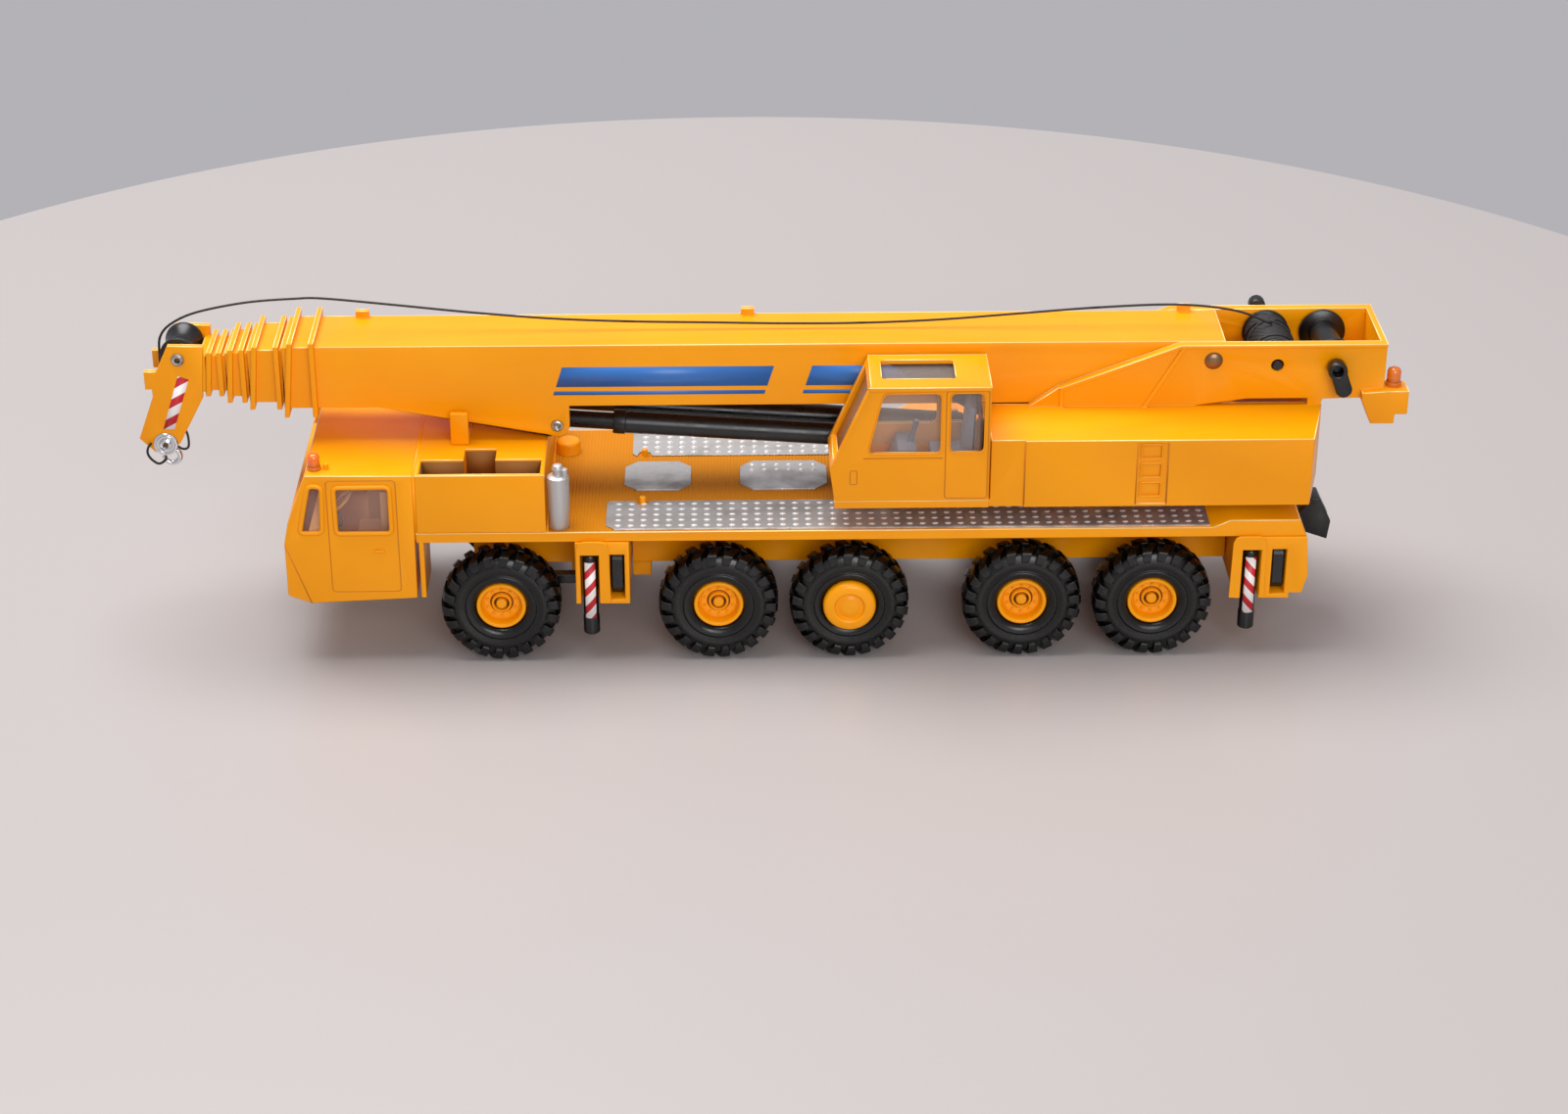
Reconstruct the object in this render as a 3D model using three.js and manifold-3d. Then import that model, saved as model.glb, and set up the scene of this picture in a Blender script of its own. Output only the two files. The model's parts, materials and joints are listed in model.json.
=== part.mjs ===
// A toy five-axle mobile crane with a telescopic boom, 1:50, in millimetres.
//
// +Z is up and the truck drives towards -X, so its left side faces -Y. The origin lies on the
// floor under the middle of the model. Everything that the wheels carry is placed above or
// below the deck's top face, so the whole bodywork rises with the tyres.

import * as THREE from 'three';
import { mergeVertices } from 'three/addons/utils/BufferGeometryUtils.js';
import Module from 'manifold-3d';

const wasm = await Module();
wasm.setup();

// ---------------------------------------------------------------- driving dimensions

const slack = 0.3; // gap round everything that slides or turns
const seat = 0.05; // gap under a piece that is glued or riveted down
const halfWidth = 28; // half the width of the bodywork
const wall = 1.4; // moulded walls of the cabs

const tyreRadius = 14.3;
const tyreWidth = 8;
const tyreStandOut = 0.5; // the tyres' outer faces stand this far outside the bodywork
const tyreGap = 2.6; // free space between two tyres of one bogie
const rimRadius = 6.6;
const axleRadius = 1.5;
const wheelSides = 20; // facets round a wheel
const archHeight = 3.2; // free space between a tyre and the deck

const deckThickness = 2.5;
const deckTop = 2 * tyreRadius + archHeight + deckThickness;
const axleHeight = tyreRadius - deckTop; // the axles, measured from the deck's top

const deckFront = -84.7;
const rearStep = 1.8; // the deck over the rear outriggers is this much higher
const frameHalf = 12; // chassis channel
const frameBottom = -16.3;

const frontAxle = -65.5;
const secondAxle = -13.7;
const fourthAxle = 58.7;
const bogieStep = 2 * tyreRadius + tyreGap;
const axles = [frontAxle, secondAxle, secondAxle + bogieStep, fourthAxle, fourthAxle + bogieStep];
const plainHub = 2; // index of the axle that carries plain, domed hubs
const lastTyre = axles[4] + tyreRadius; // the rearmost point of the tyres
const deckRear = lastTyre + 21.3;

const beamWidth = 2.9; // outrigger beams, two side by side in each housing
const beamHeight = 11.3;
const beamTop = -6.1;
const jackRadius = 1.9;
const jackFoot = -27.5;
const outriggers = [
  { place: 'front', left: -44.1, right: -37.6 },
  { place: 'rear', left: lastTyre + 8.6, right: lastTyre + 15.2 },
];

const slewX = 78.3; // centre of the slew ring
const slewRadius = 12.8;
const kingpinRadius = 3;
const bedBottom = 5.7; // underside of the superstructure
const bedThickness = 2;

const boomHalf = 9.2; // boom base, half its width
const boomTop = 39.7;
const boomBottom = 24;
const boomWall = 0.8;
const boomStep = boomWall + slack; // each section is this much smaller all round
const boomPivot = { x: 103.4, z: 35.5 };
const pivotRadius = 1.6;
const cheekWall = 1.8; // side walls that carry the boom and the winches
const cheekIn = boomHalf + slack;
const cheekOut = cheekIn + cheekWall;

const liftPivot = { x: 43.3, z: 12.2 }; // lift rams, foot
const liftEye = { x: -51.7, z: 19 }; // lift rams, head, under the boom
const ramOffset = 5;
const rodRadius = 2.2;
const boreRadius = rodRadius + slack / 2;
const barrelRadius = boreRadius + 0.35;
const lugRadius = 3;

const winchHeight = 34.2;
const winches = [
  { x: 118.6, rope: 5.3, crankSide: 1, lean: -18 },
  { x: 132.3, rope: 3.6, crankSide: -1, lean: 160 },
];
const flangeRadius = 5.6;
const winchShaft = 1.2;

const headPin = { x: -140.6, z: 35.8 };
const hookPin = { x: -145.2, z: 13.9 };
const sheaveRadius = 4.5;
const headPinRadius = 0.9;
const headHalf = 7;
const headPlate = 1.4;

const ropeRadius = 0.3;

// ---------------------------------------------------------------- materials

function finish(color, roughness, metalness = 0) {
  return new THREE.MeshStandardMaterial({ color, roughness, metalness });
}

const paint = finish(0xf29a12, 0.35);
const rubber = finish(0x17181a, 0.8);
const black = finish(0x141416, 0.4);
const silver = finish(0xb9bcc0, 0.35, 0.9);
const chrome = finish(0xd8dadd, 0.15, 1);
const amber = finish(0xf0701e, 0.2);
const grey = finish(0x6f7276, 0.6);
const clear = new THREE.MeshStandardMaterial({
  color: 0xb8aaa4,
  roughness: 0.1,
  transparent: true,
  opacity: 0.4,
});

// ---------------------------------------------------------------- shapes

// The closed solid that a three.js geometry bounds.
function solid(geometry) {
  geometry.deleteAttribute('normal');
  geometry.deleteAttribute('uv');
  const merged = mergeVertices(geometry, 1e-4);
  return new wasm.Manifold(
    new wasm.Mesh({
      numProp: 3,
      vertProperties: merged.attributes.position.array,
      triVerts: new Uint32Array(merged.index.array),
    }),
  );
}

function join(...solids) {
  return solids.reduce((sum, next) => sum.add(next));
}

function cut(body, ...tools) {
  return tools.reduce((rest, tool) => rest.subtract(tool), body);
}

// A shape through points [u, v], with every corner rounded to the radius given.
function outline(points, radius = 0) {
  const shape = new THREE.Shape();
  const corners = points.map(([u, v]) => new THREE.Vector2(u, v));
  corners.forEach((corner, i) => {
    const before = corners[(i + corners.length - 1) % corners.length];
    const after = corners[(i + 1) % corners.length];
    const start = corner.clone().add(before.clone().sub(corner).setLength(radius));
    const end = corner.clone().add(after.clone().sub(corner).setLength(radius));
    if (i === 0) shape.moveTo(start.x, start.y);
    else shape.lineTo(start.x, start.y);
    if (radius > 0) shape.quadraticCurveTo(corner.x, corner.y, end.x, end.y);
  });
  return shape;
}

const frames = {
  // outline [y, z] pushed along X, [x, z] along Y and [x, y] along Z
  x: (from) => new THREE.Matrix4().set(0, 0, 1, from, 1, 0, 0, 0, 0, 1, 0, 0, 0, 0, 0, 1),
  y: (from, to) => new THREE.Matrix4().set(1, 0, 0, 0, 0, 0, -1, to, 0, 1, 0, 0, 0, 0, 0, 1),
  z: (from) => new THREE.Matrix4().makeTranslation(0, 0, from),
};

function prism(axis, points, from, to, radius = 0) {
  const geometry = new THREE.ExtrudeGeometry(outline(points, radius), {
    depth: to - from,
    bevelEnabled: false,
    curveSegments: 3,
  });
  return solid(geometry.applyMatrix4(frames[axis](from, to)));
}

function block(x, y, z) {
  const geometry = new THREE.BoxGeometry(x[1] - x[0], y[1] - y[0], z[1] - z[0]);
  return solid(geometry.translate((x[0] + x[1]) / 2, (y[0] + y[1]) / 2, (z[0] + z[1]) / 2));
}

// The same shape on both sides of the truck: between y = near and far on the left and right.
function twin(points, near, far, radius = 0) {
  return [prism('y', points, near, far, radius), prism('y', points, -far, -near, radius)];
}

// A turned piece about the line through (x, z) along Y. The profile's points are [radius, y].
function turned(profile, x, z, segments = 16) {
  const points = profile.map(([r, y]) => new THREE.Vector2(r, y));
  return solid(new THREE.LatheGeometry(points, segments).translate(x, 0, z));
}

// A turned piece about an upright line. The profile's points are [radius, z].
function upright(profile, x, y, segments = 12) {
  const points = profile.map(([r, z]) => new THREE.Vector2(r, z));
  const geometry = new THREE.LatheGeometry(points, segments).rotateX(Math.PI / 2);
  return solid(geometry.translate(x, y, 0));
}

function pin(x, z, radius, from, to, segments = 12) {
  return turned([[0, from], [radius, from], [radius, to], [0, to]], x, z, segments);
}

// A bar in the plane y = offset, between the points a and b.
function bar(a, b, offset, radius, segments = 12) {
  const from = new THREE.Vector3(a.x, offset, a.z);
  const to = new THREE.Vector3(b.x, offset, b.z);
  const run = to.clone().sub(from);
  const geometry = new THREE.CylinderGeometry(radius, radius, run.length(), segments);
  const turn = new THREE.Quaternion().setFromUnitVectors(
    new THREE.Vector3(0, 1, 0),
    run.clone().normalize(),
  );
  geometry.applyQuaternion(turn);
  const middle = from.add(to).multiplyScalar(0.5);
  return solid(geometry.translate(middle.x, middle.y, middle.z));
}

// A convex outline with every edge moved inwards.
function inset(points, distance) {
  const edges = points.map(([u, v], i) => {
    const [s, t] = points[(i + 1) % points.length];
    const length = Math.hypot(s - u, t - v);
    const side = [-(t - v) / length, (s - u) / length];
    return { at: [u + side[0] * distance, v + side[1] * distance], along: [s - u, t - v] };
  });
  return edges.map((edge, i) => {
    const last = edges[(i + edges.length - 1) % edges.length];
    const cross = last.along[0] * edge.along[1] - last.along[1] * edge.along[0];
    const gap = [edge.at[0] - last.at[0], edge.at[1] - last.at[1]];
    const step = (gap[0] * edge.along[1] - gap[1] * edge.along[0]) / cross;
    return [last.at[0] + last.along[0] * step, last.at[1] + last.along[1] * step];
  });
}

const carrier = new THREE.Group();
carrier.position.z = deckTop;

function add(name, body, material) {
  const { vertProperties, triVerts } = body.getMesh();
  const geometry = new THREE.BufferGeometry();
  geometry.setAttribute('position', new THREE.BufferAttribute(new Float32Array(vertProperties), 3));
  geometry.setIndex(new THREE.BufferAttribute(new Uint32Array(triVerts), 1));
  const mesh = new THREE.Mesh(geometry, material);
  mesh.name = name;
  carrier.add(mesh);
}

const sides = [
  { name: 'left', sign: -1 },
  { name: 'right', sign: 1 },
];

// ---------------------------------------------------------------- wheels

const tyreOut = halfWidth + tyreStandOut;
const tyreIn = tyreOut - tyreWidth;

function tyre(x, sign) {
  const middle = (sign * (tyreOut + tyreIn)) / 2;
  const half = tyreWidth / 2;
  const bore = rimRadius + seat;
  const shoulder = tyreRadius - 1.6;
  const profile = [
    [bore, -half + 0.8],
    [shoulder, -half],
    [tyreRadius, -half + 2],
    [tyreRadius, half - 2],
    [shoulder, half],
    [bore, half - 0.8],
    [bore, -half + 0.8],
  ].map(([r, y]) => [r, y + middle]);
  return turned(profile, x, axleHeight, wheelSides);
}

// Both rims and the axle between them: deep dished rims, or plain hubs that stand out.
function axleWithRims(x, plain) {
  const lip = tyreOut - 0.9;
  const dish = lip - 2.6;
  const dished = [
    [axleRadius, tyreIn + 0.4],
    [rimRadius, tyreIn + 0.4],
    [rimRadius, lip],
    [rimRadius - 0.6, lip],
    [rimRadius - 1.4, dish],
    [2.4, dish],
    [2.2, dish + 1.4],
    [0, dish + 1.4],
  ];
  const domed = [
    [axleRadius, tyreIn + 0.4],
    [rimRadius, tyreIn + 0.4],
    [rimRadius, tyreOut + 0.4],
    [rimRadius - 0.8, tyreOut + 1.2],
    [3.9, tyreOut + 1.4],
    [3.4, tyreOut + 0.9],
    [0, tyreOut + 0.9],
  ];
  const half = plain ? domed : dished;
  const mirrored = half.map(([r, y]) => [r, -y]).reverse();
  return turned([...mirrored, ...half], x, axleHeight, wheelSides);
}

axles.forEach((x, i) => {
  add(`axle_${i + 1}`, axleWithRims(x, i === plainHub), paint);
  for (const { name, sign } of sides) add(`tyre_${i + 1}_${name}`, tyre(x, sign), rubber);
});

// ---------------------------------------------------------------- chassis and deck

const deckUnder = -deckThickness;

function chassisFrame() {
  const front = axles[0] - tyreRadius / 2;
  const rear = deckRear - 4.5;
  const floor = 1.5;
  const side = 1.5;
  const top = deckUnder - seat;
  let body = block([front, rear], [-frameHalf, frameHalf], [frameBottom, top]);
  const inner = frameHalf - side;
  body = cut(body, block([front + side, rear - side], [-inner, inner], [frameBottom + floor, 0]));
  for (const x of axles) {
    const hanger = [axleHeight - axleRadius - slack - 1.4, frameBottom + 0.5];
    body = join(body, block([x - 4, x + 4], [-inner, inner], hanger));
    body = cut(body, pin(x, axleHeight, axleRadius + slack, -halfWidth, halfWidth));
  }
  const tank = [axles[0] + tyreRadius + 2, axles[1] - tyreRadius - 2];
  body = join(body, block(tank, [-inner, inner], [frameBottom - 4.5, frameBottom + 0.5]));
  for (const { left, right } of outriggers) {
    const [from, to] = housingSpan(left, right);
    const window = [frameBottom - 6, beamTop + 1.6];
    body = cut(body, block([from - slack, to + slack], [-halfWidth, halfWidth], window));
    const web = [beamTop + 1.6, top];
    body = join(body, block([from - 1, Math.min(to + 1, rear)], [-frameHalf, frameHalf], web));
  }
  return cut(body, upright(rod(kingpinRadius + seat, frameBottom - 1, 1), slewX, 0));
}

// The profile of a plain upright rod.
function rod(radius, from, to) {
  return [[0, from], [radius, from], [radius, to], [0, to]];
}

function deck() {
  const rampFoot = deckRear - 22.2;
  const rampTop = rampFoot + 4;
  const plate = prism(
    'y',
    [
      [deckFront, deckUnder],
      [deckRear, deckUnder],
      [deckRear - 1.7, rearStep],
      [rampTop, rearStep],
      [rampFoot, 0],
      [deckFront, 0],
    ],
    -halfWidth,
    halfWidth,
  );
  const apron = [deckFront + 0.5, deckFront + 1.7];
  const aprons = sides.map(({ sign }) => {
    const across = [sign * halfWidth, sign * (frameHalf + 2)].sort((a, b) => a - b);
    return block(apron, across, [-17.1, deckUnder + 0.5]);
  });
  const pegs = sides.map(({ sign }) => upright(rod(0.8, -1, 1.8), -31.7, sign * 13, 10));
  const filler = upright([[0, -1], [3, -1], [3, 2.6], [2.4, 3.2], [0, 3.2]], -50.6, 16);
  const body = join(plate, ...aprons, ...pegs, filler);
  return cut(body, upright(rod(kingpinRadius + seat, -5, 2), slewX, 0));
}

function kingpin() {
  const head = frameBottom - 1.2;
  return upright(
    [
      [0, head],
      [kingpinRadius + 1.6, head],
      [kingpinRadius + 1.6, frameBottom - seat],
      [kingpinRadius, frameBottom - seat],
      [kingpinRadius, bedBottom + bedThickness + slack],
      [kingpinRadius + 1.6, bedBottom + bedThickness + slack],
      [kingpinRadius + 1.6, bedBottom + bedThickness + 1.5],
      [0, bedBottom + bedThickness + 1.5],
    ],
    slewX,
    0,
  );
}

function treadStrip(sign, front) {
  const rear = deckRear - 22.9;
  const near = 14.2;
  const far = halfWidth - 2;
  const bevel = 2;
  const points = [
    [front, near],
    [rear, near],
    [rear, far],
    [front + bevel, far],
    [front, far - bevel],
  ].map(([x, y]) => [x, sign * y]);
  return prism('z', sign > 0 ? points : points.reverse(), seat, seat + 0.3);
}

add('chassis_frame', chassisFrame(), paint);
add('carrier_deck', deck(), paint);
add('slew_kingpin', kingpin(), silver);
add('tread_strip_left', treadStrip(-1, -40.2), silver);
add('tread_strip_right', treadStrip(1, -34.7), silver);

// ---------------------------------------------------------------- outriggers

function housingSpan(left, right) {
  return [left - 3.4, right + 2.9];
}

const housingFace = halfWidth + 0.5;

// Two beams cross the truck side by side. Each one's jack stands in an open pocket at its end.
function outriggerHousing({ place, left, right }) {
  const [from, to] = housingSpan(left, right);
  const bottom = beamTop - beamHeight - 1.5;
  const middle = block([from, to], [-housingFace, housingFace], [bottom, beamTop + 1.3]);
  const top = deckUnder - seat;
  const ends = sides.map(({ sign }) => {
    const across = [sign * housingFace, sign * (frameHalf + slack)].sort((a, b) => a - b);
    return block([from, to], across, [bottom, top]);
  });
  let body = join(middle, ...ends);
  if (place === 'rear') {
    const cheek = [[to, top], [to + 3.4, top], [to + 4.2, -13], [to + 3, -17.5], [to, -17.5]];
    body = join(body, prism('y', cheek, -housingFace, housingFace));
  }
  for (const [x, sign] of [[left, -1], [right, 1]]) {
    const channel = [x - beamWidth / 2 - slack, x + beamWidth / 2 + slack];
    const height = [beamTop - beamHeight - slack, beamTop + slack];
    body = cut(body, block(channel, [-housingFace - 1, housingFace + 1], height));
    const pocket = [sign * (jackLine - jackRadius - slack), sign * (housingFace + 1)];
    const wide = [x - jackRadius - slack, x + jackRadius + slack];
    pocket.sort((a, b) => a - b);
    body = cut(body, block(wide, pocket, [bottom - 1, beamTop + slack]));
  }
  return body;
}

const jackLine = housingFace - jackRadius - 0.3; // the jacks' distance from the centre line

function outriggerBeam(x, sign) {
  const end = jackLine - jackRadius - slack;
  const across = [sign * end, -sign * (housingFace - 7)].sort((a, b) => a - b);
  const corner = 0.9;
  const points = [
    [across[0], beamTop - beamHeight],
    [across[1], beamTop - beamHeight],
    [across[1], beamTop],
    [across[0], beamTop],
  ];
  return prism('x', points, x - beamWidth / 2, x + beamWidth / 2, corner);
}

function jack(x, sign) {
  const foot = jackFoot;
  const shank = jackRadius - 0.1;
  const profile = [
    [0, foot],
    [jackRadius, foot],
    [jackRadius, foot + 5],
    [shank, foot + 5.4],
    [shank, beamTop - 0.4],
    [shank - 0.6, beamTop],
    [0, beamTop],
  ];
  return upright(profile, x, sign * jackLine);
}

for (const set of outriggers) {
  add(`outrigger_housing_${set.place}`, outriggerHousing(set), paint);
  for (const { name, sign } of sides) {
    add(`outrigger_beam_${set.place}_${name}`, outriggerBeam(set[name], sign), black);
    add(`outrigger_jack_${set.place}_${name}`, jack(set[name], sign), black);
  }
}

function towCoupling() {
  const plate = [
    [5.4, -5.1],
    [7.5, -5.1],
    [10.6, -11.4],
    [10, -16.3],
    [4.6, -14.4],
    [2.2, -9.5],
  ].map(([x, z]) => [deckRear + x, z]);
  const neck = block([deckRear + 1.1, deckRear + 5.5], [-1.6, 1.6], [-12.4, -8.6]);
  const jaws = prism('y', plate, -3.2, 3.2);
  const mouth = block([deckRear + 6.9, deckRear + 13], [-1.4, 1.4], [-13, -8]);
  return cut(join(neck, jaws), mouth);
}

// ---------------------------------------------------------------- carrier cab

const cabOutline = [
  [-85.2, -17.3],
  [-84.9, 15.1],
  [-109.9, 15.3],
  [-114.7, 2.8],
  [-115.8, -2.6],
  [-115.8, -16.4],
  [-110.1, -18.5],
];
const cabFloor = -15;

function cabShell() {
  const inner = halfWidth - wall;
  let body = prism('y', cabOutline, -halfWidth, halfWidth);
  body = cut(body, prism('y', inset(cabOutline, wall), -inner, inner));
  body = cut(body, block([-112.5, -86.8], [-inner, inner], [-19, cabFloor]));
  const quarter = [[-109.3, 12.8], [-112, 0.4], [-106.6, 0.4], [-106.1, 12.5]];
  const door = [[-103.4, 12.3], [-103.4, 0.2], [-90.3, 0.2], [-90.3, 12.3]];
  for (const window of [quarter, door]) {
    body = cut(body, ...twin(window, inner - 0.5, halfWidth + 1, 1.1));
  }
  const screen = [[-120, 3.8], [-112.4, 3.8], [-108.4, 13.2], [-120, 13.2]];
  return cut(body, prism('y', screen, -halfWidth + 3, halfWidth - 3));
}

// One clear moulding behind the windscreen and both side windows.
function cabGlazing() {
  const out = halfWidth - wall - slack;
  const sheet = 0.8;
  const shell = prism('y', inset(cabOutline, wall + slack), -out, out);
  const hollow = prism('y', inset(cabOutline, wall + slack + sheet), -out + sheet, out - sheet);
  const band = block([-120, -88.5], [-halfWidth, halfWidth], [-1.2, 13.2]);
  const open = block([-95, -80], [-out + sheet, out - sheet], [-20, 20]);
  return cut(shell, hollow, open).intersect(band);
}

// Floor, dashboard, seats and steering wheel in one moulding, clipped in from below.
function cabInterior() {
  const half = halfWidth - wall - 1.6;
  const floor = block([-112, -87.2], [-half, half], [cabFloor - 1.5, cabFloor]);
  const dash = block([-110.6, -106.4], [-half, half], [cabFloor - 0.5, -1.6]);
  const seats = sides.flatMap(({ sign }) => {
    const across = [sign * 8, sign * 20].sort((a, b) => a - b);
    return [
      block([-100, -91.4], across, [cabFloor - 0.5, -6]),
      block([-93.6, -90.6], across, [-6.5, 7]),
    ];
  });
  const column = bar({ x: -108, z: -3 }, { x: -103.6, z: 1.4 }, -14, 0.6, 10);
  const lean = new THREE.Matrix4().makeRotationY(-0.75).setPosition(-103.6, -14, 1.6);
  const rim = new THREE.TorusGeometry(3, 0.45, 6, 16);
  const hub = new THREE.BoxGeometry(6, 1, 0.5);
  const wheel = join(solid(rim.applyMatrix4(lean)), solid(hub.applyMatrix4(lean)));
  return join(floor, dash, column, wheel, ...seats);
}

add('tow_coupling', towCoupling(), black);
add('carrier_cab_shell', cabShell(), paint);
add('carrier_cab_glazing', cabGlazing(), clear);
add('carrier_cab_interior', cabInterior(), grey);

// ---------------------------------------------------------------- on the deck

const boxTop = 15.1;
const boxRear = -54.1;

function toolBox() {
  const front = deckFront + 0.3;
  const body = block([front, boxRear], [-halfWidth, halfWidth], [seat, boxTop]);
  const trayEdge = halfWidth - 8.5;
  const trays = sides.flatMap(({ sign }) => {
    const across = [sign * (halfWidth - 1), sign * trayEdge].sort((a, b) => a - b);
    const notch = [sign * (trayEdge + 1), sign * (trayEdge - 5.8)].sort((a, b) => a - b);
    return [
      block([front + 1, boxRear - 1], across, [boxTop - 9, boxTop + 1]),
      block([-73.4, -66], notch, [boxTop - 9, boxTop + 1]),
    ];
  });
  const inner = halfWidth - 10.5;
  const belly = block([front + 1.5, -75], [-inner, inner], [0, boxTop - 1.5]);
  return cut(body, ...trays, belly);
}

function boomRest() {
  const along = [-76.9, -72.6];
  const post = [boomHalf + 0.8, boomHalf + 2.4];
  const base = block(along, [-post[1], post[1]], [boxTop + seat, boxTop + 1.3]);
  const posts = sides.map(({ sign }) => {
    const across = [sign * post[0], sign * post[1]].sort((a, b) => a - b);
    return block(along, across, [boxTop + 0.5, boxTop + 8.2]);
  });
  return join(base, ...posts);
}

function muffler() {
  const profile = [
    [0, seat],
    [1.9, seat],
    [2.5, 0.6],
    [2.75, 12.8],
    [2.2, 13.6],
    [1.2, 13.8],
    [1.2, 14.8],
    [1.5, 15.2],
    [0, 16.6],
  ];
  return upright(profile, -51.1, -24.8);
}

function beacon(x, y, foot, radius, height) {
  const profile = [
    [0, foot],
    [radius * 1.15, foot],
    [radius * 1.15, foot + 0.5],
    [radius, foot + 0.9],
    [radius, foot + height * 0.75],
    [radius * 0.6, foot + height],
    [0, foot + height],
  ];
  return upright(profile, x, y);
}

add('tool_box', toolBox(), paint);
add('boom_rest', boomRest(), paint);
add('muffler', muffler(), silver);
add('front_beacon', beacon(-108, -24, 15.3 + seat, 1.5, 3.9), amber);

// ---------------------------------------------------------------- superstructure

const bedTop = bedBottom + bedThickness;
const bodyFront = 50.2;
const bodyRear = 125.5;
const bodyTail = 129.8; // the rear face is swept back towards the middle
const panelTop = 22.9;
const roofTop = 23.9; // the body's roof rises slightly to the cheeks
const channelFloor = 22.4; // between the cheeks, under the boom
const cheekTop = boomTop;
const bayFloor = [25.7, 26.9];
const bayRear = 144.3;
const cabFront = 13.7;

function upperBody() {
  const plan = [
    [bodyFront, -halfWidth],
    [bodyRear, -halfWidth],
    [bodyTail, -cheekOut],
    [bodyTail, cheekOut],
    [bodyRear, halfWidth],
    [bodyFront, halfWidth],
  ];
  const section = [
    [-halfWidth, bedBottom],
    [halfWidth, bedBottom],
    [halfWidth, panelTop],
    [cheekOut, roofTop],
    [cheekIn, roofTop],
    [cheekIn, channelFloor],
    [-cheekIn, channelFloor],
    [-cheekIn, roofTop],
    [-cheekOut, roofTop],
    [-halfWidth, panelTop],
  ];
  let body = prism('z', plan, bedBottom, roofTop).intersect(prism('x', section, bodyFront, bodyTail));
  const skin = 1.4;
  for (const { sign } of sides) {
    const across = [sign * (halfWidth - skin), sign * (slewRadius + 0.4)].sort((a, b) => a - b);
    body = cut(body, block([bodyFront + skin, bodyRear - 3], across, [bedBottom - 1, panelTop - skin]));
  }
  return join(body, bed());
}

// The flat bed that carries the body, reaching forward under the cab and the lift rams.
function bed() {
  const plan = [
    [cabFront, -halfWidth],
    [bodyFront + 2, -halfWidth],
    [bodyFront + 2, halfWidth],
    [36, halfWidth],
    [30, halfWidth - 6],
    [30, -cheekIn],
    [cabFront, -cheekIn],
  ];
  const flat = prism('z', plan, bedBottom, bedTop);
  const ring = upright(rod(slewRadius, 0.4, bedBottom + 1), slewX, 0, 24);
  return join(flat, ring);
}

// A cheek's outline, with the long slot under the winch bay left out.
function cheeks() {
  const foot = 21;
  const plate = [
    [60.1, foot],
    [bodyTail - 1, foot],
    [bodyTail + 0.1, 25.4],
    [bayRear, bayFloor[0]],
    [bayRear, cheekTop],
    [95.5, cheekTop],
    [67.2, 28.9],
    [60.1, roofTop],
  ];
  const slot = [[99.8, roofTop], [126.3, roofTop], [126.3, 25.6], [112, 25.6]];
  const flange = [
    [95.8, cheekTop - 0.9],
    [bayRear, cheekTop - 0.9],
    [bayRear, cheekTop],
    [95.5, cheekTop],
    [67.2, 28.9],
    [67.9, 28.1],
  ];
  const brace = [[86.9, 23.8], [88.1, 23.8], [97.1, 39.2], [95.9, 39.2]];
  const rib = [[67.3, 23.8], [68.3, 23.8], [68.3, 28.8], [67.3, 28.4]];
  const plates = twin(plate, cheekIn, cheekOut).map((body) => cut(body, ...twin(slot, 0, 20)));
  const proud = 0.6;
  const trims = [flange, brace, rib].flatMap((part) => twin(part, cheekOut - 0.2, cheekOut + proud));
  return join(...plates, ...trims);
}

function winchBay() {
  const floor = block([109.4, bayRear], [-cheekIn - 0.5, cheekIn + 0.5], bayFloor);
  const end = block([bayRear - 1.5, bayRear], [-cheekIn - 0.5, cheekIn + 0.5], [bayFloor[0], cheekTop]);
  const bracket = [
    [138.8, bayFloor[1] + 0.9],
    [138.8, 25.9],
    [141.3, 19.8],
    [146.9, 19.8],
    [146.9, 22.2],
    [149.9, 22.2],
    [149.9, 28.2],
    [145, 28.2],
  ];
  const lamp = prism('y', bracket, -cheekOut - 2.2, -cheekOut + 3.8);
  return join(floor, end, lamp);
}

// The pivot of the lift rams: three lugs and the spigot that both barrels turn on.
function liftMount() {
  const lug = [
    [liftPivot.x - 3, bedTop - 0.5],
    [liftPivot.x + 3, bedTop - 0.5],
    [liftPivot.x + 1.6, liftPivot.z + 2],
    [liftPivot.x - 1.6, liftPivot.z + 2],
  ];
  const half = barrelRadius + slack;
  const middle = prism('y', lug, -ramOffset + half, ramOffset - half);
  const outer = twin(lug, ramOffset + half, ramOffset + half + 1.4);
  return join(middle, ...outer, pin(liftPivot.x, liftPivot.z, 1.1, -ramOffset - 4, ramOffset + 4));
}

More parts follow.
